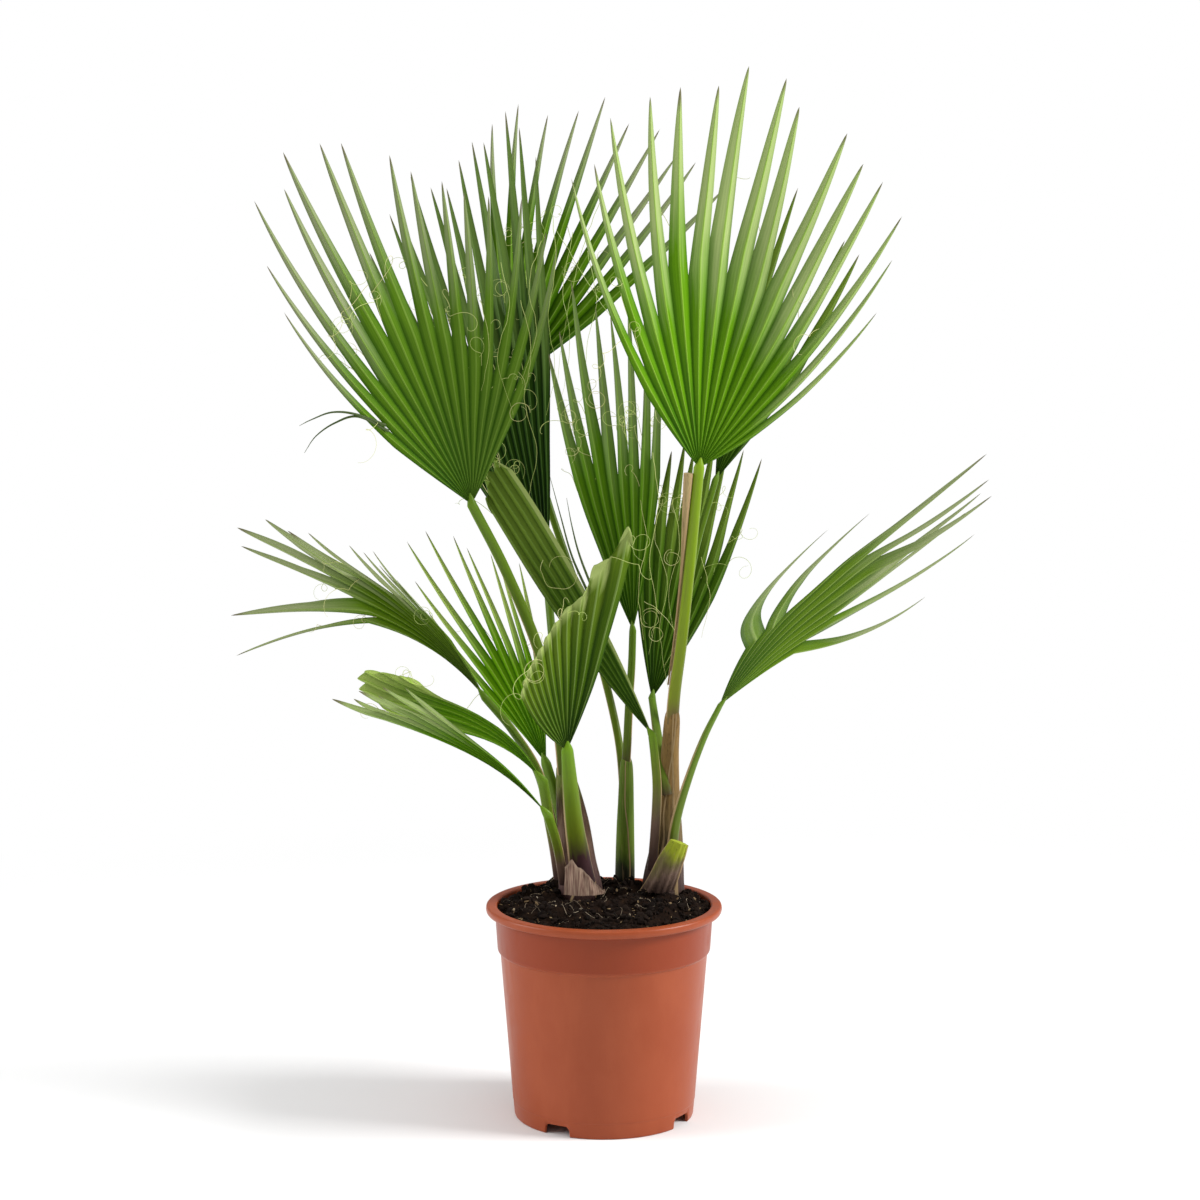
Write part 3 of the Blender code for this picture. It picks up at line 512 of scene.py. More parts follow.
clod_draw = np.random.default_rng(17)
spots = strewn(clod_draw, CLOD_LUMPS, 0.0900)
spots = spots[np.linalg.norm(spots, axis=1) > 0.055]
size = clod_draw.uniform(0.0018, 0.0042, (len(spots), 1))
bits = grit(clod_draw, spots, size * clod_draw.uniform(0.6, 1.2, (len(spots), 3)), 0.3)
fit(build("peat_lumps", [(*bits[:2], crumb_finish, bits[2])]), "peat")

chip_draw = np.random.default_rng(23)
spots = strewn(chip_draw, CHIPS, 0.0925)
size = chip_draw.lognormal(math.log(0.0011), 0.45, (len(spots), 1)).clip(0.0005, 0.003)
bits = grit(chip_draw, spots, size * chip_draw.uniform((0.7, 0.3, 0.2), (1.5, 0.7, 0.4), (len(spots), 3)), 0.9)
chip_finish = toned_finish("wood_chip", CHIP_DARK, CHIP_PALE, 0.85)
fit(build("wood_chips", [(*bits[:2], chip_finish, bits[2])]), "straw")

grain_draw = np.random.default_rng(5)
spots = strewn(grain_draw, PERLITE, 0.090)
bits = grit(grain_draw, spots, grain_draw.uniform(0.0005, 0.0014, (len(spots), 3)), 0.7)
perlite_finish = toned_finish("perlite", CHIP_PALE, PERLITE_WHITE, 0.9)
fit(build("perlite_grains", [(*bits[:2], perlite_finish, bits[2])]), "straw")

root_draw = np.random.default_rng(3)
paths, radii = root_paths(root_draw, LOOSE_ROOTS)
root_finish = toned_finish("dead_root", CHIP_DARK, ROOT_PALE, 0.8)
root_parts = [(*tubes(paths, radii, 5), root_finish, {})]
for route, thickness in LONG_ROOTS:
    flat = smooth_path(route, 30)
    height = soil_height(flat[:, 0], flat[:, 1]) + 0.0012
    lifted = np.concatenate([flat, np.convolve(np.pad(height, 3, "edge"), np.ones(7) / 7, "valid")[:, None]], axis=1)
    taper = thickness * np.linspace(1, 0.45, 30)
    root_parts.append((*tubes(lifted[None], taper[None], 6), root_finish, {}))
for part in root_parts:
    part[3]["tone"] = 0.6 + 0.4 * ripple(part[0], 0.02, 4)
fit(build("dead_roots", root_parts), "straw")

# Stems. Each young trunk is a bundle of leaf bases wrapped round one another: purple-brown and fibrous at the
# soil, with papery tan margins that run up it askew, turning green where the bases narrow into stalks.
STEM_SIDES = 96
STEM_ROWS = 110
STEMS = {
    "stem_left": dict(
        rings=((-0.020, 0.030, 0.120, 0.0130), (-0.020, 0.030, 0.178, 0.0210), (-0.021, 0.030, 0.200, 0.0205),
               (-0.024, 0.030, 0.225, 0.0175), (-0.028, 0.031, 0.260, 0.0150),
               (-0.033, 0.034, 0.292, 0.0105),
               (-0.036, 0.036, 0.306, 0.0070)),
        wraps=((-2.05, 9.0), (-0.75, -6.0), (1.0, 7.0), (2.4, -7.0)), wrap_depth=0.075, turned=1.5,
        stops=((0.188, (0.050, 0.022, 0.020, 1)), (0.212, (0.105, 0.056, 0.052, 1)),
               (0.240, (0.150, 0.090, 0.062, 1)), (0.268, (0.070, 0.036, 0.018, 1)),
               (0.296, (0.110, 0.140, 0.020, 1))),
    ),
    "stem_middle": dict(
        rings=((0.019, 0.070, 0.120, 0.0060), (0.019, 0.070, 0.180, 0.0098), (0.0195, 0.070, 0.200, 0.0094),
               (0.020, 0.068, 0.260, 0.0080), (0.0205, 0.065, 0.300, 0.0064),
               (0.0205, 0.064, 0.312, 0.0036)),
        wraps=((-1.2, -5.0), (0.9, 6.0), (2.8, 4.0)), wrap_depth=0.06, turned=1.2,
        stops=((0.192, (0.012, 0.009, 0.006, 1)), (0.208, (0.020, 0.026, 0.008, 1)),
               (0.228, (0.105, 0.170, 0.012, 1)), (0.268, (0.095, 0.165, 0.014, 1)),
               (0.312, (0.120, 0.190, 0.020, 1))),
    ),
    "stem_right": dict(
        rings=((0.053, 0.040, 0.120, 0.0130), (0.053, 0.040, 0.178, 0.0210), (0.054, 0.040, 0.205, 0.0195),
               (0.057, 0.040, 0.240, 0.0150), (0.058, 0.039, 0.280, 0.0110), (0.059, 0.032, 0.320, 0.0085),
               (0.0605, 0.021, 0.352, 0.0074), (0.061, 0.018, 0.363, 0.0050)),
        wraps=((-2.3, 6.0), (-0.9, -4.0), (0.7, 5.0), (2.2, -5.0)), wrap_depth=0.085, turned=1.5,
        stops=((0.190, (0.045, 0.024, 0.020, 1)), (0.218, (0.085, 0.052, 0.045, 1)),
               (0.245, (0.135, 0.095, 0.040, 1)), (0.280, (0.185, 0.112, 0.036, 1)),
               (0.355, (0.250, 0.150, 0.046, 1))),
    ),
}
MARGIN_TAN = (0.40, 0.275, 0.14, 1)
FIBRE_DARK = (0.018, 0.008, 0.008, 1)


def stem_surface(rings, wraps, wrap_depth, turned):
    """A tube through the rings. Past each wrap's edge, which climbs askew, its radius drops and eases back."""
    route = smooth_path(rings, STEM_ROWS)
    middle, radius = route[:, :3], route[:, 3]
    turn = np.linspace(-math.pi, math.pi, STEM_SIDES, endpoint=False)
    rise = (middle[:, 2] - middle[:, 2].min())[:, None]
    swell = np.zeros((STEM_ROWS, STEM_SIDES))
    margin = np.zeros((STEM_ROWS, STEM_SIDES))
    for number, (start, climb) in enumerate(wraps):
        waver = 0.25 * ripple(np.stack([rise / 0.03, 0 * rise + number, 0 * rise], axis=-1), 1.0, 9)
        past = (turn - start - climb * (rise - 0.07) - waver + math.pi) % (2 * math.pi) - math.pi
        step = np.where(past > 0, np.exp(-past / turned), 0) * np.clip(past / 0.10, 0, 1)
        swell += step
        margin = np.maximum(margin, np.exp(-((past - 0.06) / 0.10) ** 2))
    swell -= swell.mean()
    fine = np.stack([turn * 9 + 0 * rise, rise / 0.05 + 0 * turn, 0 * rise + 0 * turn], axis=-1)
    width = radius[:, None] * (0.95 + wrap_depth * swell + 0.012 * ripple(fine, 1.0, 2))
    x = middle[:, :1] + width * np.cos(turn)
    y = middle[:, 1:2] + width * np.sin(turn)
    z = middle[:, 2:3] + 0 * turn
    grid = np.stack([x, y, z], axis=-1)
    ends = [np.repeat(middle[end][None, None], STEM_SIDES, axis=1) for end in (0, -1)]
    grid = np.concatenate([ends[0], grid, ends[1]])
    marks = {"margin": np.pad(margin, ((1, 1), (0, 0))), "turn": np.tile(turn / math.pi, (STEM_ROWS + 2, 1))}
    return grid.reshape(-1, 3), grid_faces(STEM_ROWS + 2, STEM_SIDES), marks


def stem_finish(name, stops):
    """Leaf bases: colours by height, dark and pale fibres drawn out upwards, and papery tan margins."""
    made, tree, shader = new_finish(name, 0.60, Specular_IOR_Level=0.15)
    low, high = stops[0][0], stops[-1][0]
    height = node(tree, "SeparateXYZ", {"Vector": stretched(tree, (1, 1, 1))}).outputs["Z"]
    blotch = grain(tree, stretched(tree, (1, 1, 0.4)), 0.012, 4)
    height = sums(tree, "MULTIPLY_ADD", sums(tree, "SUBTRACT", blotch, 0.5), 0.045, height)
    share = node(tree, "MapRange", {"Value": height, "From Min": low, "From Max": high}).outputs["Result"]
    colour = ramp(tree, share, *[((stop - low) / (high - low), tone) for stop, tone in stops])
    fibre = grain(tree, stretched(tree, (1, 1, 0.045)), 0.0016, 4, 0.65)
    colour = mixed(tree, span(tree, fibre, 0.52, 0.70, 0.0, 0.55), colour, FIBRE_DARK)
    colour = mixed(tree, span(tree, fibre, 0.42, 0.28, 0.0, 0.45), colour, MARGIN_TAN)
    edge = span(tree, mark(tree, "margin"), 0.35, 0.85, 0.0, 0.9)
    tree.links.new(mixed(tree, edge, colour, MARGIN_TAN), shader.inputs["Base Color"])
    raise_bumps(tree, shader, fibre, 0.0007)
    return made


for name, stem in STEMS.items():
    grid, quads, marks = stem_surface(stem["rings"], stem["wraps"], stem["wrap_depth"], stem["turned"])
    bark = stem_finish("bark_" + name, stem["stops"])
    fit(build("trunk_" + name.split("_")[1], [(grid, quads, bark, marks)], 60), "bark", name)

# Stub. The stalk of an old frond on the right palm, cut off a hand's breadth above the soil. It is a thick
# clasping base, purple-brown and fibrous below and yellow-green at the cut, with tan margins.
STUB = ((0.0475, 0.0180, 0.1990, 0.0155), (0.0530, 0.0060, 0.2140, 0.0135), (0.0600, -0.0010, 0.2330, 0.0115),
        (0.0665, -0.0040, 0.2470, 0.0080))
STUB_STOPS = ((0.196, (0.085, 0.050, 0.040, 1)), (0.214, (0.175, 0.115, 0.085, 1)),
              (0.227, (0.140, 0.115, 0.045, 1)), (0.238, (0.250, 0.290, 0.015, 1)),
              (0.250, (0.340, 0.400, 0.025, 1)))


def stub_surface():
    """A tube through the stub's rings, wide across the front, with a raised keel and two thin margins."""
    rows, sides = 60, 64
    route = smooth_path(STUB, rows)
    middle, radius = route[:, :3], route[:, 3]
    turn = np.linspace(-math.pi, math.pi, sides, endpoint=False)
    keel = 0.10 * np.exp(-((turn + 1.35) / 0.30) ** 2) + 0.05 * np.cos(9 * turn)
    edges = np.exp(-((np.abs(turn + 1.5) - 1.45) / 0.12) ** 2)
    width = radius[:, None] * (0.90 + keel + 0.12 * edges)
    squash = 1 - 0.28 * np.linspace(0, 1, rows)[:, None]
    grid = np.stack([middle[:, :1] + width * np.cos(turn), middle[:, 1:2] + squash * width * np.sin(turn),
                     middle[:, 2:3] - 0.35 * width * np.cos(turn) * np.linspace(0, 1, rows)[:, None] ** 4], axis=-1)
    ends = [np.repeat(middle[end][None, None], sides, axis=1) for end in (0, -1)]
    grid = np.concatenate([ends[0], grid, ends[1]])
    margin = np.pad(np.repeat(edges[None], rows, axis=0), ((1, 1), (0, 0)))
    return grid.reshape(-1, 3), grid_faces(rows + 2, sides), {"margin": margin}


stub_grid, stub_quads, stub_marks = stub_surface()
stub_finish = stem_finish("cut_stalk", STUB_STOPS)
fit(build("old_stalk_stub", [(stub_grid, stub_quads, stub_finish, stub_marks)], 50), "stub", "cut_stub")

# Husk. What is left of a dead leaf base, a papery triangle that has come away from the foot of the left palm.
# It is thin and dry, pinkish grey-brown with pale fibres, and its free edge has curled outwards.
HUSK_FLARE = 0.002
HUSK_ANGLES = (-122, -46)
HUSK_PEAK = 0.18
HUSK_LEAST = 0.12
HUSK_FOOT = 0.1978
HUSK_HEIGHT = 0.032
HUSK_SHEET = 0.0006
HUSK_BROWN = (0.235, 0.140, 0.105, 1)
HUSK_PALE = (0.500, 0.360, 0.260, 1)
HUSK_DARK = (0.105, 0.055, 0.040, 1)


def husk_surface():
    """A bent sheet round the stem's foot; its top falls from the peak, with a torn edge that curls outwards."""
    rows, columns = 26, 64
    side = np.linspace(0, 1, columns)
    up = np.linspace(0, 1, rows)[:, None]
    angle = np.radians(HUSK_ANGLES[0] + side * (HUSK_ANGLES[1] - HUSK_ANGLES[0]))
    torn = 1 + 0.05 * ripple(np.stack([side * 16, 0 * side, 0 * side], axis=-1), 1.0, 6)
    top = HUSK_HEIGHT * np.maximum(HUSK_LEAST, (1 - np.abs(side - HUSK_PEAK) / (1 - HUSK_PEAK)) * torn).clip(0, 1)
    where = np.stack([side * 9 + 0 * up, up * 1.2 + 0 * side, 0 * side + 0 * up], axis=-1)
    reach = HUSK_RADIUS + HUSK_FLARE * (1 - up) + 0.0011 * ripple(where, 1.0, 3) - 0.0006 + 0.0010 * up ** 6
    skins = []
    for depth in (0.0, HUSK_SHEET):
        out = reach + depth * (1 - 0.5 * up)
        skins.append(np.stack([HUSK_MIDDLE[0] + out * np.cos(angle), HUSK_MIDDLE[1] + out * np.sin(angle),
                               HUSK_FOOT + top * up + 0 * out], axis=-1))
    grid = np.concatenate([skins[1], skins[0][:, ::-1]], axis=1)
    ends = [np.concatenate([skins[0][end], skins[0][end][::-1]])[None] for end in (0, -1)]
    grid = np.concatenate([ends[0], grid, ends[1]])
    edge = np.tile(np.concatenate([side, side[::-1]]), (rows + 2, 1))
    rise = np.repeat(np.concatenate([[0], np.linspace(0, 1, rows), [1]])[:, None], 2 * columns, axis=1)
    return grid.reshape(-1, 3), grid_faces(rows + 2, 2 * columns), {"side": edge, "rise": rise}


def husk_finish():
    """Dry papery leaf base: brown, streaked up its length with pale and dark fibres, paler along its torn edge."""
    made, tree, shader = new_finish("husk_paper", 0.75, Specular_IOR_Level=0.15)
    place = node(tree, "CombineXYZ", {"X": sums(tree, "MULTIPLY", mark(tree, "side"), 34),
                                      "Y": sums(tree, "MULTIPLY", mark(tree, "rise"), 1.6)}).outputs["Vector"]
    fibre = node(tree, "TexNoise", {"Vector": place, "Scale": 1.0, "Detail": 5.0}).outputs["Fac"]
    colour = ramp(tree, fibre, (0.24, HUSK_DARK), (0.42, HUSK_BROWN), (0.70, HUSK_PALE))
    edge = span(tree, mark(tree, "rise"), 0.84, 0.97, 0.0, 0.75)
    tree.links.new(mixed(tree, edge, colour, HUSK_PALE), shader.inputs["Base Color"])
    raise_bumps(tree, shader, fibre, 0.0004)
    return made


husk_grid, husk_quads, husk_marks = husk_surface()
fit(build("papery_husk", [(husk_grid, husk_quads, husk_finish(), husk_marks)], 60), "husk", "husk")

# Fronds. Each is one grown leaf: a smooth stalk, flat behind and rounded in front, and a stiff pleated fan. A rib
# runs up each pleat and on into its own free finger, which narrows to a dry point. Fans differ in age and colour,
# and those at the back and among the stalks are given darker colours as painted shade.
BLADE_START = 0.005
PLEAT_DEPTH = 0.45
PLEAT_EASE = 0.35
FINGER_TAPER = 0.6
FINGER_LENGTHS = (0.94, 1.03)
FINGER_SWAY = 0.5
FINGER_NOD = 0.03
SPLIT_RIPPLE = 0.08
SPLIT_STEP = 1.7
CUP_ROUNDING = 0.2
BOW_TOP = 27 / 4
BLADE_SHEET = 0.00045
RIB_HEIGHT = 0.00035
BLADE_COLUMNS = np.array([-1, -0.82, -0.55, -0.28, -0.09, 0, 0.09, 0.28, 0.55, 0.82, 1])
JOINED_ROWS = 16
FREE_ROWS = 24
STALK_ROWS = 60
STALK_SIDES = 24
HUB_REACH = (0.003, 0.006, 0.009)
HUB_SHARES = (0.8, 0.5, 0.15)

BRIGHT = dict(deep=(0.036, 0.125, 0.001, 1), body=(0.100, 0.252, 0.001, 1), pale=(0.360, 0.450, 0.170, 1),
              rib=(0.230, 0.400, 0.045, 1))
FRESH = dict(deep=(0.048, 0.160, 0.001, 1), body=(0.122, 0.300, 0.001, 1), pale=(0.380, 0.500, 0.120, 1),
             rib=(0.280, 0.460, 0.050, 1))
MID = dict(deep=(0.026, 0.088, 0.001, 1), body=(0.074, 0.176, 0.001, 1), pale=(0.270, 0.300, 0.165, 1),
           rib=(0.180, 0.300, 0.040, 1))
GREY = dict(deep=(0.034, 0.095, 0.001, 1), body=(0.100, 0.190, 0.004, 1), pale=(0.310, 0.360, 0.170, 1),
            rib=(0.230, 0.330, 0.070, 1))
# Painted shade: a darker copy of the leaf colours for the fan at the back, which lies in shade
LEAF_IN_DEEP_SHADE = dict(deep=(0.002, 0.012, 0.001, 1), body=(0.017, 0.050, 0.002, 1), pale=(0.110, 0.185, 0.035, 1),
            rib=(0.080, 0.150, 0.030, 1))
# Painted shade: a darker copy of the leaf colours for the fans behind and among the stalks, which lie in shade
LEAF_IN_SHADE = dict(deep=(0.012, 0.040, 0.001, 1), body=(0.041, 0.098, 0.002, 1), pale=(0.105, 0.170, 0.016, 1),
             rib=(0.120, 0.200, 0.030, 1))
FOLDED = dict(deep=(0.012, 0.042, 0.001, 1), body=(0.054, 0.115, 0.002, 1), pale=(0.100, 0.170, 0.008, 1),
              rib=(0.190, 0.280, 0.070, 1))
INNER = dict(deep=(0.022, 0.080, 0.001, 1), body=(0.080, 0.190, 0.002, 1), pale=(0.160, 0.230, 0.070, 1),
             rib=(0.170, 0.290, 0.040, 1))
TIP_DRY = (0.150, 0.125, 0.075, 1)
SEAM_PALE = (0.340, 0.420, 0.130, 1)
STALK_BRIGHT = ((0.0, (0.170, 0.108, 0.042, 1)), (0.10, (0.165, 0.135, 0.030, 1)), (0.22, (0.185, 0.240, 0.010, 1)),
                (1.0, (0.200, 0.330, 0.014, 1)))
STALK_GREEN = ((0.0, (0.060, 0.040, 0.018, 1)), (0.2, (0.095, 0.145, 0.008, 1)), (1.0, (0.100, 0.190, 0.010, 1)))
STALK_PAPER = ((0.0, (0.050, 0.026, 0.024, 1)), (0.30, (0.135, 0.082, 0.056, 1)), (0.52, (0.120, 0.150, 0.014, 1)),
               (1.0, (0.120, 0.225, 0.010, 1)))
STALK_PURPLE = ((0.0, (0.035, 0.016, 0.018, 1)), (0.24, (0.050, 0.022, 0.024, 1)), (0.42, (0.120, 0.165, 0.010, 1)),
                (1.0, (0.135, 0.265, 0.008, 1)))

# hub is where the stalk meets the blade. lean is the middle finger's angle from upright, to the right; tilt leans
# it to the front; turn swings the blade about it. reach gives finger length at angles in the blade, and split the
# share of it that stays joined; with ragged 0 a fold leaves the fan's edge smooth. flare opens the fan near the
# hub, bow lifts each finger, cup folds the sides to the front, and bends turn some fingers on, in degrees. stalk
# runs from its foot in the stem up to the hub.
# pale shifts a fan's tone lighter or darker from its left side to its right: painted light and shade
FRONDS = {
    "frond_right_high": dict(
        hub=(0.082, -0.020, 0.580), lean=10, tilt=4, turn=18, fingers=15,
        split=((-40, 0.32), (-34, 0.38), (-25, 0.46), (-12, 0.54), (8, 0.54), (20, 0.46), (30, 0.34),
               (42, 0.28)),
        reach=((-40, 0.262), (-37, 0.280), (-26, 0.312), (-15, 0.338), (0, 0.338), (7, 0.322), (17, 0.300),
               (28, 0.274), (34, 0.240), (42, 0.175)),
        flare=0.30, bow=0.0, cup=0.30, width=0.0050, foot=0.0062,
        stalk=((0.0605, 0.020, 0.350), (0.0625, 0.012, 0.380), (0.068, 0.000, 0.427),
               (0.075, -0.010, 0.499)),
        leaf=BRIGHT, stem=STALK_BRIGHT, slot="leaf", pale=(-0.06, 0.20), young=(0.0, 0.10)),
    "frond_left_high": dict(
        hub=(-0.114, -0.030, 0.549), lean=-10, tilt=6, turn=22, fingers=15,
        split=((-38, 0.36), (-27, 0.40), (-20, 0.50), (-5, 0.50), (10, 0.44), (31, 0.40)),
        reach=((-38, 0.230), (-35, 0.262), (-31, 0.290), (-27, 0.322), (-20, 0.341), (-14, 0.337),
               (-6, 0.313),
               (1, 0.300), (8, 0.282), (18, 0.262), (31, 0.240)),
        flare=0.34, bow=0.02, cup=0.30, width=0.0045, foot=0.0060,
        stalk=((-0.034, 0.032, 0.272), (-0.041, 0.033, 0.345), (-0.058, 0.020, 0.415),
               (-0.086, -0.005, 0.489)),
        leaf=MID, stem=STALK_GREEN, slot="leaf", pale=(0.02, -0.16), young=(0.0, 0.45)),
    "frond_left_back": dict(
        hub=(-0.051, 0.100, 0.459), lean=-8, tilt=-5, turn=-20, fingers=14,
        split=((-24, 0.60), (8.3, 0.60)),
        reach=((-24, 0.365), (-10, 0.391), (-1, 0.425), (3.7, 0.425), (8.3, 0.370)),
        flare=0.25, bow=0.02, cup=0.20, width=0.0040, foot=0.0045,
        stalk=((-0.027, 0.044, 0.262), (-0.034, 0.055, 0.300), (-0.041, 0.070, 0.350),
               (-0.046, 0.085, 0.406)),
        leaf=LEAF_IN_DEEP_SHADE, stem=STALK_GREEN, slot="leaf_deep"),
    "frond_middle_back": dict(
        hub=(-0.084, 0.158, 0.648), lean=21, tilt=-3, turn=10, fingers=10,
        split=((-29, 0.36), (29, 0.36)),
        reach=((-29, 0.240), (-18, 0.258), (0, 0.272), (29, 0.272)),
        flare=0.20, bow=0.0, cup=0.10, width=0.0035, foot=0.0038,
        stalk=((0.019, 0.076, 0.262), (0.012, 0.092, 0.330), (-0.012, 0.122, 0.420),
               (-0.050, 0.148, 0.530)),
        leaf=MID, stem=STALK_GREEN, slot="leaf_deep", pale=(-0.07, -0.07)),
    "frond_middle_front": dict(
        hub=(0.026, 0.055, 0.428), lean=-5, tilt=-2, turn=-25, fingers=8,
        split=((-14, 0.60), (0, 0.50), (13, 0.55)),
        reach=((-14, 0.261), (-5, 0.313), (0, 0.298), (5, 0.291), (13, 0.262)),
        flare=0.60, bow=0.0, cup=0.15, width=0.0035, foot=0.0045,
        stalk=((0.020, 0.064, 0.300), (0.0215, 0.060, 0.330), (0.023, 0.056, 0.365), (0.025, 0.055, 0.395)),
        leaf=INNER, stem=STALK_GREEN, slot="leaf_deep"),
    "frond_right_back": dict(
        hub=(0.100, 0.070, 0.562), lean=22, tilt=-8, turn=30, fingers=6,
        split=((-18, 0.45), (17, 0.45)),
        reach=((-18, 0.256), (-9, 0.264), (3, 0.257), (17, 0.250)),
        flare=0.30, bow=0.0, cup=0.20, width=0.0035, foot=0.0045,
        stalk=((0.061, 0.044, 0.262), (0.063, 0.055, 0.328), (0.068, 0.068, 0.399), (0.081, 0.074, 0.490)),
        leaf=LEAF_IN_SHADE, stem=STALK_GREEN, slot="leaf_deep"),
    "frond_left_folded": dict(
        hub=(-0.032, -0.035, 0.335), lean=2, tilt=12, turn=20, fingers=11,
        split=((-38, 0.97), (15, 0.97)), ragged=0.0,
        reach=((-38, 0.078), (-26, 0.092), (-14, 0.106), (3, 0.143), (11, 0.187), (13.5, 0.222),
               (15, 0.195)),
        flare=0.45, bow=0.0, cup=0.35, width=0.0056, foot=0.0118,
        stalk=((-0.0180, 0.017, 0.204), (-0.0225, 0.0105, 0.232), (-0.0270, -0.007, 0.268),
               (-0.0300, -0.024, 0.305)),
        leaf=FOLDED, stem=STALK_PURPLE, slot="leaf", seam=(1, 0)),
    "frond_left_arching": dict(
        hub=(-0.104, -0.020, 0.379), lean=-45, tilt=10, turn=-30, fingers=12,
        split=((-24, 0.50), (-16, 0.50), (-12, 0.68), (0, 0.62), (10, 0.50), (23, 0.42)),
        reach=((-24, 0.218), (-18, 0.246), (-14, 0.264), (-10, 0.266), (-6, 0.250), (-2, 0.235), (2, 0.213),
               (6, 0.190), (14, 0.166), (23, 0.138)),
        bends={0: -15, 1: -11, 10: -6, 11: -8},
        flare=-0.60, bow=0.06, cup=0.25, width=0.0038, foot=0.0055,
        stalk=((-0.039, 0.036, 0.212), (-0.046, 0.034, 0.250), (-0.058, 0.016, 0.305),
               (-0.080, -0.006, 0.347)),
        leaf=GREY, stem=STALK_GREEN, slot="leaf"),
    "frond_left_inner": dict(
        hub=(-0.052, 0.046, 0.308), lean=-23, tilt=0, turn=-20, fingers=9,
        split=((-19, 0.42), (19, 0.42)),
        reach=((-19, 0.170), (-13, 0.200), (-6, 0.245), (0, 0.232), (8, 0.203), (19, 0.197)),
        flare=0.30, bow=0.04, cup=0.15, width=0.0050, foot=0.0055,
        stalk=((-0.031, 0.045, 0.216), (-0.037, 0.048, 0.248), (-0.044, 0.048, 0.280)),
        leaf=FRESH, stem=STALK_GREEN, slot="leaf"),
    "frond_left_broad": dict(
        hub=(-0.054, -0.004, 0.302), lean=-56, tilt=15, turn=-30, fingers=6,
        split=((-9, 0.97), (9, 0.97)), ragged=0.0,
        reach=((-9, 0.150), (-5, 0.184), (0, 0.196), (5, 0.180), (9, 0.148)),
        flare=0.25, bow=0.10, cup=0.15, width=0.0050, foot=0.0050,
        stalk=((-0.0405, 0.024, 0.208), (-0.0440, 0.018, 0.236), (-0.0490, 0.007, 0.268)),
        leaf=FRESH, stem=STALK_PAPER, slot="leaf"),
    "frond_left_low": dict(
        hub=(-0.049, -0.032, 0.277), lean=-50, tilt=12, turn=-20, fingers=6,
        split=((-11, 0.78), (6, 0.74)),
        reach=((-11, 0.222), (-5, 0.205), (0, 0.190), (6, 0.170)),
        flare=-0.50, bow=0.06, cup=0.15, width=0.0045, foot=0.0045,
        stalk=((-0.0358, 0.016, 0.205), (-0.0388, 0.006, 0.228), (-0.0425, -0.012, 0.251)),
        leaf=BRIGHT, stem=STALK_PAPER, slot="leaf"),
    "frond_right_arching": dict(
        hub=(0.102, 0.000, 0.369), lean=48, tilt=9, turn=60, fingers=10,
        split=((-19, 0.26), (-15, 0.30), (-11, 0.40), (-9, 0.60), (7, 0.54), (10, 0.40), (19, 0.36)),
        reach=((-19, 0.262), (-12, 0.260), (-10, 0.332), (-6, 0.322), (-2, 0.326), (2, 0.318), (6, 0.292),
               (10, 0.290), (13, 0.295), (17, 0.222), (19, 0.215)),
        bends={0: -22, 1: -14, 8: 9, 9: 14},
        flare=1.20, bow=0.045, cup=0.00, width=0.0035, foot=0.0065,
        stalk=((0.060, 0.0265, 0.226), (0.0640, 0.018, 0.262), (0.0745, 0.008, 0.302),
               (0.088, 0.002, 0.340)),
        leaf=GREY, stem=STALK_GREEN, slot="leaf"),
    "frond_right_inner": dict(
        hub=(0.044, 0.086, 0.361), lean=8, tilt=-6, turn=25, fingers=9,
        split=((-14, 0.70), (6, 0.65), (19, 0.45)),
        reach=((-14, 0.228), (3, 0.241), (14, 0.252), (19, 0.262)),
        flare=0.60, bow=0.0, cup=0.15, width=0.0040, foot=0.0060,
        stalk=((0.0565, 0.029, 0.283), (0.0515, 0.034, 0.312), (0.0475, 0.055, 0.338)),
        leaf=LEAF_IN_SHADE, stem=STALK_GREEN, slot="leaf_deep"),
    "frond_right_folded": dict(
        hub=(0.043, 0.018, 0.339), lean=-32, tilt=-5, turn=-25, fingers=5,
        split=((-4.3, 0.97), (4.3, 0.97)), ragged=0.0,
        reach=((-4.3, 0.250), (-2, 0.272), (2, 0.285), (4.3, 0.275)),
        flare=1.80, bow=0.0, cup=0.20, width=0.0040, foot=0.0050,
        stalk=((0.0435, 0.028, 0.215), (0.0460, 0.024, 0.250), (0.0475, 0.020, 0.290),
               (0.0455, 0.018, 0.318)),
        leaf=LEAF_IN_SHADE, stem=STALK_PAPER, slot="leaf_deep", seam=(0, 1)),
}


def frond_axes(frond):
    """The blade's middle direction, its right-hand side and the way it faces."""
    lean, tilt, turn = (math.radians(frond[key]) for key in ("lean", "tilt", "turn"))
    middle = np.array((math.sin(lean) * math.cos(tilt), -math.sin(tilt), math.cos(lean) * math.cos(tilt)))
    level = np.array((math.cos(lean), 0.0, -math.sin(lean)))
    right = math.cos(turn) * level - math.sin(turn) * np.cross(level, middle)
    return middle, right, np.cross(right, middle)


def blade_place(frond, axes, angle, radius, length):
    """Rays from the hub along cos and sin of the angle, with the sides cupped forward and each finger bowed up."""
    middle, right, facing = axes
    share = radius / length
    angle = angle * (1 + frond["flare"] * (1 - share))
    cup = frond["cup"] * radius * (np.hypot(np.sin(angle), CUP_ROUNDING) - CUP_ROUNDING)
    lift = frond["bow"] * length * BOW_TOP * share * (1 - share) ** 2
    ray = np.cos(angle)[..., None] * middle + np.sin(angle)[..., None] * right
    return np.array(frond["hub"]) + radius[..., None] * ray + cup[..., None] * facing + lift[..., None] * (0, 0, 1)


def finger_draws(frond, seed):
    """Each finger's random share of its length, sway to a side and nod to the front."""
    draw = random.Random(seed)
    rows = []
    for _ in range(frond["fingers"]):
        rows.append((draw.uniform(*FINGER_LENGTHS), draw.uniform(-FINGER_SWAY, FINGER_SWAY),
                     draw.uniform(-FINGER_NOD, FINGER_NOD)))
    return np.array(rows).T[:, :, None, None]


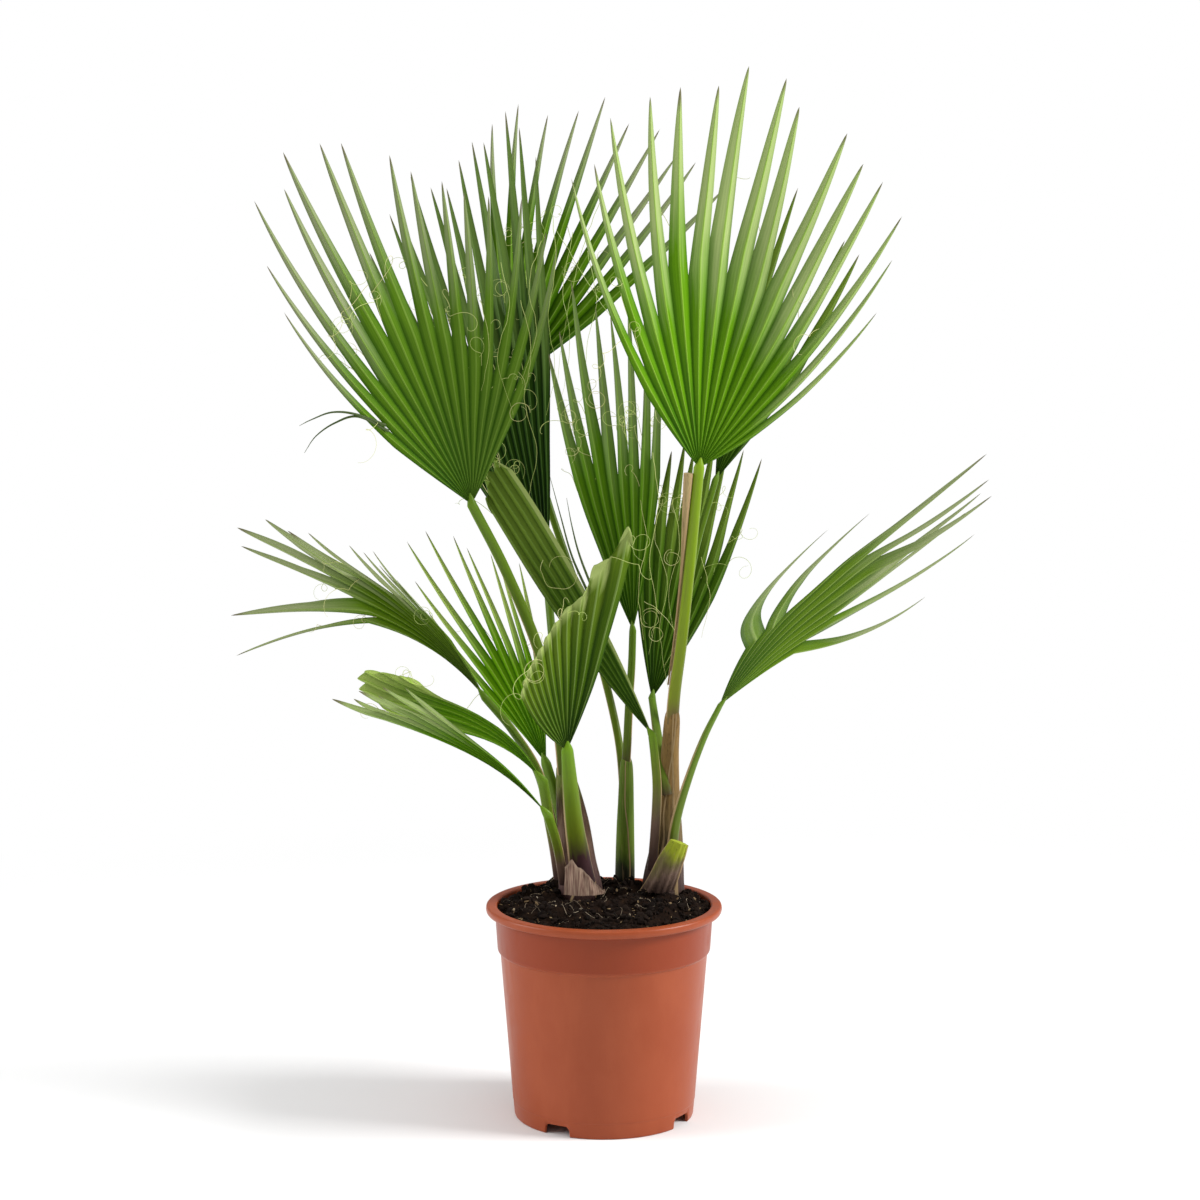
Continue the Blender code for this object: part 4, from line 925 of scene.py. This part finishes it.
def blade_surface(frond, seed):
    """The fan as fingers side by side, each a ridge with its rib on top, joined up to the split and tapering past
    it. Arrays run over finger, row from hub to tip, and column from valley over rib to valley."""
    axes = frond_axes(frond)
    count = frond["fingers"]
    angles, lengths = zip(*frond["reach"])
    half = math.radians(angles[-1] - angles[0]) / count / 2
    number = np.arange(2 * count + 1)
    line_angle = math.radians(angles[0]) + number * half
    line_length = np.interp(np.degrees(line_angle), angles, lengths)
    line_split = line_length * np.interp(np.degrees(line_angle), *zip(*frond["split"]))
    ragged = frond.get("ragged", 1.0)
    line_split = line_split * (1 + ragged * SPLIT_RIPPLE * np.sin(SPLIT_STEP * number + seed))
    t = BLADE_COLUMNS
    where = (2 * np.arange(count) + 1)[:, None] + t
    length = np.interp(where, number, line_length)[:, None]
    split = np.interp(where, number, line_split)[:, None]
    middle_angle = line_angle[1::2][:, None, None]
    stretch, sway, nod = finger_draws(frond, seed)
    own_length = line_length[1::2][:, None, None] * (1 + ragged * (stretch - 1))
    joined = np.linspace(0, 1, JOINED_ROWS)[:, None] ** 1.3
    radius = BLADE_START + joined * (split - BLADE_START)
    place = blade_place(frond, axes, middle_angle + t * half + 0 * radius, radius, length + 0 * radius)
    free = 1 - (1 - np.linspace(0, 1, FREE_ROWS + 1)[1:, None]) ** 1.15
    free_radius = split + free * (own_length - split)
    width = half * split * (1 - free) ** FINGER_TAPER / free_radius
    settle = np.clip(free / 0.35, 0, 1)
    free_length = length + (own_length - length) * settle
    bent = np.radians([frond.get("bends", {}).get(finger, 0.0) for finger in range(count)])[:, None, None]
    swing = sway * half * free + bent * (1 - split / free_radius) / (1 - split / own_length)
    free_place = blade_place(frond, axes, middle_angle + swing + t * width, free_radius, free_length)
    radius, place = np.concatenate([radius, free_radius], 1), np.concatenate([place, free_place], 1)
    width = np.concatenate([half + 0 * radius[:, :JOINED_ROWS], width], 1)
    past = np.concatenate([0 * radius[:, :JOINED_ROWS], free + 0 * free_radius], 1)
    fold = np.abs(t)
    ridge = 1 - 2 * fold + 0.16 * (1 - (2 * fold - 1) ** 2)
    depth = PLEAT_DEPTH * (1 - PLEAT_EASE * np.clip(radius / own_length / 0.6, 0, 1))
    hump = RIB_HEIGHT * np.clip(1 - fold / 0.2, 0, 1) * np.sqrt(np.clip(1 - radius / own_length, 0, 1))
    bend = 0.5 * nod * own_length * np.sin(math.pi * past)
    lift = depth * radius * width * ridge + nod * own_length * past ** 2 + hump + bend
    waves = 0.0016 * ripple(place, 0.055, seed + 20) * np.clip(radius / 0.08, 0, 1) * (1 - past)
    front = place + (lift + waves)[..., None] * axes[2]
    sheet = BLADE_SHEET * np.where(past > 0, np.clip((1 - past) * 3, 0, 1), 1)
    back = front - (sheet * (1 - 0.4 * fold) + hump)[..., None] * axes[2]
    grid = np.concatenate([front, back[:, :, ::-1]], axis=2)
    outer, right = frond.get("seam", (0, 0))
    seam = outer * np.clip(radius / own_length / 0.012 - 76.5, 0, 1) + 0 * past
    seam = np.maximum(seam, right * (where[:, None] > 2 * count - 0.9))
    # Painted light and shade: the fan's tone shifted lighter or darker from its left side to its right
    paler = np.interp(where, (0, 2 * count), frond.get("pale", (0, 0)))[:, None] + 0 * past
    young = np.interp(where, (0, 2 * count), frond.get("young", (0, 0)))[:, None] + 0 * past
    marks = {"fold": np.broadcast_to(fold, past.shape), "along": radius / own_length * (0.9 + 0.1 * ragged),
             "radius": radius, "side": np.broadcast_to(t, past.shape), "seam": seam, "paler": paler,
             "young": young,
             "finger": np.arange(count)[:, None, None] + seed * 40 + 0 * past}
    marks = {key: np.concatenate([value, value[:, :, ::-1]], axis=2) for key, value in marks.items()}
    return grid, blade_faces(count, grid.shape[1], len(t)), marks


def blade_faces(count, rows, columns):
    """Quads of every finger, without the walls between joined ones, and with the fan closed at the hub."""
    loop = 2 * columns
    ring = grid_faces(rows, loop).reshape(rows - 1, loop, 4)
    keep = np.ones((count, rows - 1, loop), bool)
    keep[:-1, :JOINED_ROWS - 1, columns - 1] = False
    keep[1:, :JOINED_ROWS - 1, loop - 1] = False
    quads = ring[None] + (rows * loop * np.arange(count))[:, None, None, None]
    step = np.arange(columns - 1)
    cap = np.stack([step + 1, step, loop - 1 - step, loop - 2 - step], axis=-1)
    cap = cap[None] + (rows * loop * np.arange(count))[:, None, None]
    return np.concatenate([quads[keep], cap.reshape(-1, 4)])


def stalk_surface(frond):
    """A tube from the foot through the hub into the blade: rounded in front, nearly flat behind, with thin edges."""
    axes = frond_axes(frond)
    facing = axes[2]
    route = smooth_path([*frond["stalk"], frond["hub"]], STALK_ROWS)
    radius = np.linspace(frond["foot"], frond["width"], STALK_ROWS)
    reach = np.array(HUB_REACH)
    tail = blade_place(frond, axes, 0 * reach, reach, np.interp(0, *zip(*frond["reach"])) + 0 * reach)
    tail_radius = np.array(HUB_SHARES) * frond["width"]
    path, radius = np.concatenate([route, tail]), np.concatenate([radius, tail_radius])
    along = np.gradient(path, axis=0)
    along /= np.linalg.norm(along, axis=1, keepdims=True)
    across = np.cross(along, facing)
    across /= np.linalg.norm(across, axis=1, keepdims=True)
    front = np.cross(across, along)
    turn = np.linspace(0, 2 * math.pi, STALK_SIDES, endpoint=False)
    high = np.where(np.sin(turn) > 0, 0.72 * np.sin(turn), 0.45 * np.sin(turn)) + 0.03 * np.cos(5 * turn)
    ring = 0.97 * np.cos(turn)[:, None] * across[:, None] + high[:, None] * front[:, None]
    grid = path[:, None] + radius[:, None, None] * ring
    caps = [np.repeat(path[end][None, None], STALK_SIDES, axis=1) for end in (0, -1)]
    grid = np.concatenate([caps[0], grid, caps[1]])
    rise = np.clip(np.concatenate([[0], np.arange(len(path)) / STALK_ROWS, [1]]), 0, 1)
    marks = {"along": np.repeat(rise[:, None], STALK_SIDES, axis=1),
             "margin": np.tile(np.cos(turn) ** 16, (len(rise), 1)), "side": np.tile(np.sin(turn), (len(rise), 1))}
    return grid, grid_faces(len(rise), STALK_SIDES), marks


def leaf_finish(name, deep, body, pale, rib):
    """Leaf blade: deep green by the hub, paler and greyer out along the fingers where the grey is partly a painted
    sheen, with pale ribs that also carry a painted highlight, painted shade in the folds, a tone shifted lighter or
    darker across the fan as painted light and shade, fine veins along each finger, fingers that differ a little in
    tone, and dry brown-grey tips."""
    made, tree, shader = new_finish(name, 0.45, Specular_IOR_Level=0.07)
    along, fold, side = mark(tree, "along"), mark(tree, "fold"), mark(tree, "side")
    finger = mark(tree, "finger")
    own = node(tree, "TexWhiteNoise", {"W": sums(tree, "ROUND", finger)}, noise_dimensions="1D").outputs["Value"]
    place = node(tree, "CombineXYZ", {"X": sums(tree, "MULTIPLY_ADD", side, 2.2, sums(tree, "MULTIPLY", finger, 7)),
                                      "Y": sums(tree, "MULTIPLY", mark(tree, "radius"), 14)}).outputs["Vector"]
    streak = node(tree, "TexNoise", {"Vector": place, "Scale": 1.0, "Detail": 5.0}).outputs["Fac"]
    # Tone from deep to pale: random for each finger and in streaks, and rising out along the fingers, where the
    # paler grey is partly a painted sheen
    shift = sums(tree, "MULTIPLY_ADD", sums(tree, "SUBTRACT", streak, 0.5), 0.34,
                 sums(tree, "MULTIPLY_ADD", own, 0.22, sums(tree, "SUBTRACT", along, 0.11)))
    # Painted light and shade: the tone shift across the fan from its left side to its right
    shift = sums(tree, "ADD", shift, mark(tree, "paler"))
    colour = ramp(tree, shift, (0.04, deep), (0.28, body), (0.46, body), (0.74, pale), (1.0, pale))
    colour = mixed(tree, mark(tree, "young"), colour, rib)
    veins = sums(tree, "SINE", sums(tree, "MULTIPLY", side, 6.2832 * 4))
    colour = mixed(tree, span(tree, veins, -1.0, 1.0, 0.0, 0.12), colour, deep)
    # Painted shade in the pleat valleys: the folds are darkened towards the deep green, most strongly near the hub
    fold_shade_strength = span(tree, along, 0.30, 0.85, 0.85, 0.25)
    colour = mixed(tree, sums(tree, "MULTIPLY", span(tree, fold, 0.45, 1.0), fold_shade_strength), colour, deep)
    # Pale ribs on the pleats' ridges: partly the ribs' own paler green, partly a painted highlight along each ridge
    colour = mixed(tree, span(tree, fold, 0.20, 0.03, 0.0, 0.80), colour, rib)
    colour = mixed(tree, sums(tree, "MULTIPLY", mark(tree, "seam"), 0.9), colour, SEAM_PALE)
    dry = sums(tree, "MULTIPLY_ADD", own, -0.03, along)
    colour = mixed(tree, span(tree, dry, 0.93, 0.985, 0.0, 0.9), colour, TIP_DRY)
    tree.links.new(colour, shader.inputs["Base Color"])
    tree.links.new(span(tree, streak, 0.3, 0.7, 0.38, 0.54), shader.inputs["Roughness"])
    raise_bumps(tree, shader, sums(tree, "MULTIPLY_ADD", veins, 0.3, streak), 0.00012)
    return made


def stalk_finish(name, stops):
    """Leaf stalk: colours from foot to hub, with fine lengthwise streaks and tan margins towards the foot."""
    made, tree, shader = new_finish(name, 0.38, Specular_IOR_Level=0.18)
    along = mark(tree, "along")
    place = node(tree, "CombineXYZ", {"X": sums(tree, "MULTIPLY", mark(tree, "side"), 4.0),
                                      "Y": sums(tree, "MULTIPLY", along, 5.0)}).outputs["Vector"]
    streak = node(tree, "TexNoise", {"Vector": place, "Scale": 1.0, "Detail": 5.0}).outputs["Fac"]
    shifted = sums(tree, "MULTIPLY_ADD", sums(tree, "SUBTRACT", streak, 0.5), 0.22, along)
    colour = ramp(tree, shifted, *stops)
    colour = mixed(tree, span(tree, streak, 0.5, 0.75, 0.0, 0.25), colour, stops[0][1])
    edge = sums(tree, "MULTIPLY", span(tree, mark(tree, "margin"), 0.2, 0.7), span(tree, along, 0.90, 0.45))
    colour = mixed(tree, edge, colour, MARGIN_TAN)
    tree.links.new(colour, shader.inputs["Base Color"])
    raise_bumps(tree, shader, streak, 0.0003)
    return made


blade_lines = {}
for seed, (name, frond) in enumerate(FRONDS.items()):
    blade_grid, blade_quads, blade_marks = blade_surface(frond, seed)
    stalk_grid, stalk_quads, stalk_marks = stalk_surface(frond)
    label = name.replace("frond_", "")
    made = build("fan_leaf_" + label, [
        (blade_grid.reshape(-1, 3), blade_quads, leaf_finish("blade_" + label, **frond["leaf"]), blade_marks),
        (stalk_grid.reshape(-1, 3), stalk_quads, stalk_finish("stalk_" + label, frond["stem"]), stalk_marks),
    ], 38)
    fit(made, frond["slot"], name)
    blade_lines[name] = blade_grid

# Sheath. The dry fibrous strip that stands beside the tall stalk of the right palm: what is left of the sheath
# that wrapped it, tan-brown and frayed, pressed against the stalk's left edge.
SHEATH = ((0.385, 0.0008), (0.440, 0.0010), (0.495, 0.0015), (0.530, 0.0028), (0.560, 0.0038), (0.574, 0.0042))
SHEATH_STOPS = ((0.375, (0.140, 0.090, 0.032, 1)), (0.470, (0.260, 0.175, 0.072, 1)),
                (0.560, (0.420, 0.320, 0.150, 1)))


def sheath_surface():
    """A slim tube along the left edge of the tall stalk, swelling in the middle, with frayed ribs along it."""
    rows = 60
    tall = FRONDS["frond_right_high"]
    _, right, facing = frond_axes(tall)
    route = smooth_path([*tall["stalk"], tall["hub"]], 200)
    heights = np.linspace(SHEATH[0][0], SHEATH[-1][0], rows)
    radii = np.interp(heights, *zip(*SHEATH))
    middle = np.stack([np.interp(heights, route[:, 2], route[:, axis]) for axis in range(3)], axis=-1)
    width = np.interp(heights, (0.350, 0.580), (tall["foot"], tall["width"]))
    path = middle - (width + radii)[:, None] * right
    points, quads = tubes(path[None], radii[None], 18, facing, 0.8)
    turn = np.tile(np.linspace(0, 2 * math.pi, 18, endpoint=False), rows + 2)
    return points, quads, {"margin": 0.5 + 0.5 * np.cos(3 * turn + 40 * points[:, 2])}


sheath_grid, sheath_quads, sheath_marks = sheath_surface()
sheath_finish = stem_finish("dry_fibre", SHEATH_STOPS)
fit(build("dry_fibre_sheath", [(sheath_grid, sheath_quads, sheath_finish, sheath_marks)], 60), "straw", "dry_sheath")

# Threads. Fine pale fibres part from the fans' edges where the fingers split, and hang and curl in the air. They
# are thinner than a pencil line, yellow-green where fresh and straw-coloured where dry.
THREAD_ROWS = 44
THREAD_RADIUS = 0.00026
THREADS = {"frond_right_high": 8, "frond_left_high": 22, "frond_left_back": 26, "frond_middle_back": 12,
           "frond_middle_front": 26, "frond_left_folded": 8, "frond_left_arching": 6, "frond_left_inner": 6,
           "frond_left_broad": 3, "frond_right_inner": 24, "frond_right_folded": 12}
# Threads that hang longer, as a fan and places across and up in front of it; and coils: fan, middle, radius,
# turns and where each starts
LONG_THREADS = (
    ("frond_left_high", ((-0.044, 0.795), (-0.041, 0.756), (-0.047, 0.709), (-0.042, 0.664), (-0.049, 0.625))),
    ("frond_middle_back", ((-0.029, 0.784), (-0.038, 0.732), (-0.031, 0.681), (-0.040, 0.630))),
    ("frond_middle_back", ((-0.015, 0.768), (-0.007, 0.722), (-0.016, 0.677), (-0.013, 0.634))),
    ("frond_middle_back", ((-0.002, 0.817), (-0.020, 0.768), (-0.035, 0.706), (-0.044, 0.642))),
    ("frond_middle_back", ((-0.044, 0.786), (-0.013, 0.736), (0.015, 0.695), (0.033, 0.677))),
    ("frond_left_high", ((-0.088, 0.756), (-0.081, 0.716), (-0.091, 0.674), (-0.078, 0.627))),
    ("frond_left_high", ((-0.071, 0.724), (-0.062, 0.681), (-0.068, 0.638), (-0.058, 0.596), (-0.065, 0.557))),
    ("frond_left_high", ((-0.106, 0.724), (-0.098, 0.686), (-0.105, 0.647))),
    ("frond_left_high", ((-0.054, 0.774), (-0.064, 0.737), (-0.058, 0.695), (-0.070, 0.657))),
    ("frond_middle_front", ((0.043, 0.589), (0.048, 0.542), (0.041, 0.492), (0.047, 0.447), (0.040, 0.407))),
    ("frond_right_inner", ((0.054, 0.543), (0.046, 0.511), (0.058, 0.466), (0.051, 0.424), (0.059, 0.369))),
    ("frond_right_inner", ((0.062, 0.543), (0.069, 0.502), (0.059, 0.454), (0.066, 0.406))),
    ("frond_right_inner", ((0.037, 0.452), (0.051, 0.441), (0.066, 0.415), (0.055, 0.390))),
    ("frond_middle_front", ((0.032, 0.546), (0.038, 0.510), (0.031, 0.465), (0.036, 0.420))),
    ("frond_right_inner", ((0.089, 0.489), (0.097, 0.452), (0.090, 0.415))),
)
COILS = (
    ("frond_right_folded", (-0.038, 0.485), 0.0150, 1.1, 2.6),
    ("frond_right_inner", (0.042, 0.435), 0.0080, 1.6, 0.4),
    ("frond_right_inner", (0.048, 0.421), 0.0060, 1.3, 2.0),
    ("frond_left_folded", (-0.059, 0.410), 0.0080, 1.3, 1.0),
    ("frond_left_high", (-0.073, 0.628), 0.0075, 1.2, 0.0),
    ("frond_middle_front", (-0.007, 0.635), 0.0070, 1.3, 3.0),
    ("frond_right_inner", (0.062, 0.489), 0.0065, 1.4, 1.5),
)
# Thin dry finger tips that stick out on their own
STRAY_TIPS = (
    ("frond_left_high", ((-0.183, 0.620), (-0.207, 0.630), (-0.226, 0.632), (-0.243, 0.626), (-0.253, 0.621))),
    ("frond_left_high", ((-0.181, 0.615), (-0.205, 0.628), (-0.224, 0.623), (-0.240, 0.612), (-0.250, 0.598))),
    ("frond_right_folded", ((-0.012, 0.462), (-0.028, 0.498), (-0.038, 0.533), (-0.048, 0.570))),
    ("frond_right_folded", ((-0.007, 0.462), (-0.021, 0.498), (-0.028, 0.524), (-0.033, 0.550))),
)
THREAD_PALE = (0.430, 0.540, 0.130, 1)
THREAD_STRAW = (0.560, 0.530, 0.220, 1)
TIP_GREY = (0.030, 0.050, 0.014, 1)
TIP_GREEN = (0.085, 0.130, 0.030, 1)


def thread_paths(grid, count, draw):
    """Threads from the splits of a fan: each sets off along its finger, sinks a little, and winds into a curl
    whose circles widen towards its end."""
    fingers = draw.integers(0, len(grid), count)
    rows = draw.integers(JOINED_ROWS - 2, JOINED_ROWS + 6, count)
    starts = grid[fingers, rows, 0]
    ahead = grid[fingers, rows + 3, 0] - starts
    ahead /= np.linalg.norm(ahead, axis=1, keepdims=True)
    s = np.linspace(0, 1, THREAD_ROWS)[None, :, None]
    length = draw.uniform(0.025, 0.085, (count, 1, 1))
    wander = draw.normal(0, 1, (count, 1, 3)) * (1, 0.5, 1)
    heading = ahead[:, None] + 0.7 * wander
    heading /= np.linalg.norm(heading, axis=2, keepdims=True)
    path = starts[:, None] + length * (s * heading * (1 - 0.4 * s) + 0.3 * s * s * (0.0, -0.25, -1.0))
    turns = draw.uniform(0.6, 2.6, (count, 1, 1)) * draw.choice((-1, 1), (count, 1, 1))
    phase = draw.uniform(0, 2 * math.pi, (count, 1, 1)) + 2 * math.pi * turns * s ** 1.5
    curl = draw.uniform(0.002, 0.011, (count, 1, 1)) * s
    plane = np.concatenate([np.cos(phase), 0.35 * np.sin(phase + 1), np.sin(phase)], axis=2)
    return path + curl * plane


def laid(name, flat):
    """Gives places across and up the depth of the nearest points of a fan, smoothed, a little before its front."""
    fan = blade_lines[name][:, :, :len(BLADE_COLUMNS)].reshape(-1, 3)
    nearest = np.linalg.norm(fan[None, :, ::2] - flat[:, None], axis=2).argmin(axis=1)
    depth = np.convolve(np.pad(fan[nearest, 1], 6, "edge"), np.ones(13) / 13, "valid") - 0.0025
    return np.stack([flat[:, 0], depth, flat[:, 1]], axis=-1)


def coil(name, middle, radius, turns, start):
    """A thread wound round a middle before a fan: its circles draw in from 1.25 to 0.75 of the radius."""
    s = np.linspace(0, 1, THREAD_ROWS)
    turn = start + 2 * math.pi * turns * s
    ring = radius * (1.25 - 0.5 * s)[:, None] * np.stack([np.cos(turn), np.sin(turn)], axis=-1)
    return laid(name, np.array(middle) + ring)


def thread_finish():
    """Threads, each with its own tone from fresh yellow-green to dry straw."""
    made, tree, shader = new_finish("leaf_thread", 0.5, Specular_IOR_Level=0.4)
    patches = grain(tree, stretched(tree, (1, 1, 1)), 0.02, 2)
    tone = sums(tree, "MULTIPLY_ADD", patches, 0.6, sums(tree, "MULTIPLY_ADD", mark(tree, "tone"), 0.9, -0.3))
    tree.links.new(mixed(tree, tone, THREAD_PALE, THREAD_STRAW), shader.inputs["Base Color"])
    raise_bumps(tree, shader, patches, 0.0002)
    return made


thread = thread_finish()
taper = THREAD_RADIUS * (1 - 0.6 * np.linspace(0, 1, THREAD_ROWS) ** 2)
for seed, (name, count) in enumerate(THREADS.items()):
    draw = np.random.default_rng(100 + seed)
    paths = thread_paths(blade_lines[name], count, draw)
    points, quads = tubes(paths, np.tile(taper, (count, 1)), 5)
    tone = np.repeat(draw.uniform(0, 1, count), len(points) // count)
    made = build("threads_" + name.replace("frond_", ""), [(points, quads, thread, {"tone": tone})])
    fit(made, "straw")

loose = [laid(name, smooth_path(route, THREAD_ROWS)) for name, route in LONG_THREADS]
loose = np.stack(loose + [coil(*wound) for wound in COILS])
spans = loose / 0.008
kinks = np.stack([ripple(spans, 1.0, 50 + axis) for axis in range(3)], axis=-1)
points, quads = tubes(loose + 0.0011 * kinks, np.tile(taper, (len(loose), 1)), 5)
tone = np.repeat(np.linspace(0, 1, len(loose)), len(points) // len(loose))
fit(build("threads_long", [(points, quads, thread, {"tone": tone})]), "straw")

stray = np.stack([laid(name, smooth_path(route, THREAD_ROWS)) for name, route in STRAY_TIPS])
width = 0.0014 * np.linspace(1, 0.12, THREAD_ROWS)
points, quads = tubes(stray, np.tile(width, (len(stray), 1)), 8, flat=0.4)
stray_finish = toned_finish("stray_tip", TIP_GREY, TIP_GREEN, 0.5)
fit(build("stray_tips", [(points, quads, stray_finish, {"tone": 0.5 + 0 * points[:, 0]})]), "leaf_deep")

# Studio. A plain pale floor, large soft lamps at both sides and one above, and the camera at the height and
# distance that the pot's ellipses give, looking slightly down.
CAMERA_PLACE = (-0.0035, -2.3, 0.744)
CAMERA_DOWN = 6.98
CAMERA_LENS = 79.29
SENSOR = 36
FLOOR_SIZE = 12.0
FLOOR_FADE = (0.55, 1.3)
SKY_LIGHT = 0.36


def lamp(name, place, target, size, power, shape="RECTANGLE"):
    """A soft area lamp at a place, turned to a target."""
    light = bpy.data.lights.new(name, "AREA")
    light.shape = shape
    light.size, light.size_y = size
    light.energy = power
    made = bpy.data.objects.new(name, light)
    bpy.context.scene.collection.objects.link(made)
    made.location = place
    away = np.array(place) - np.array(target)
    made.rotation_euler = (math.atan2(math.hypot(away[0], away[1]), away[2]), 0,
                           math.atan2(away[1], away[0]) + math.pi / 2)
    return made


floor_mesh = bpy.data.meshes.new("studio_floor")
edge = FLOOR_SIZE / 2
floor_mesh.from_pydata([(-edge, -edge, 0), (edge, -edge, 0), (edge, edge, 0), (-edge, edge, 0)], [], [(0, 1, 2, 3)])
floor = bpy.data.objects.new("studio_floor", floor_mesh)
bpy.context.scene.collection.objects.link(floor)
paper, paper_tree, paper_shader = new_finish("studio_paper", 0.9, Base_Color=(0.88, 0.88, 0.88, 1))
flat = node(paper_tree, "Mapping", {"Vector": stretched(paper_tree, (1, 1, 0))}).outputs["Vector"]
away = node(paper_tree, "VectorMath", {0: flat}, operation="LENGTH").outputs["Value"]
glow = node(paper_tree, "Emission", {"Color": (1, 1, 1, 1), "Strength": 1.0})
blend = node(paper_tree, "MixShader", {0: span(paper_tree, away, *FLOOR_FADE), 1: paper_shader.outputs[0],
                                       2: glow.outputs[0]})
paper_tree.links.new(blend.outputs[0], paper_tree.nodes["Material Output"].inputs["Surface"])
floor_mesh.materials.append(paper)

lamp("key_right", (3.0, -0.5, 2.1), (0.0, 0.0, 0.2), (1.3, 1.3), 150)
lamp("fill_left", (-2.6, -0.3, 1.3), (0.0, 0.0, 0.4), (1.6, 1.6), 50)
lamp("top", (-0.2, -0.3, 2.6), (0.0, 0.0, 0.3), (1.8, 1.8), 18)

world = bpy.data.worlds.new("studio_white")
bpy.context.scene.world = world
world.use_nodes = True
sky = world.node_tree.nodes["Background"]
seen = node(world.node_tree, "LightPath", {}).outputs["Is Camera Ray"]
world.node_tree.links.new(sums(world.node_tree, "MULTIPLY_ADD", seen, 1 - SKY_LIGHT, SKY_LIGHT),
                          sky.inputs["Strength"])
sky.inputs["Color"].default_value = (1, 1, 1, 1)

camera_data = bpy.data.cameras.new("camera")
camera_data.lens = CAMERA_LENS
camera_data.sensor_width = SENSOR
camera = bpy.data.objects.new("camera", camera_data)
bpy.context.scene.collection.objects.link(camera)
camera.location = CAMERA_PLACE
camera.rotation_euler = (math.radians(90 - CAMERA_DOWN), 0, 0)
bpy.context.scene.camera = camera
bpy.context.scene.view_settings.view_transform = "Standard"
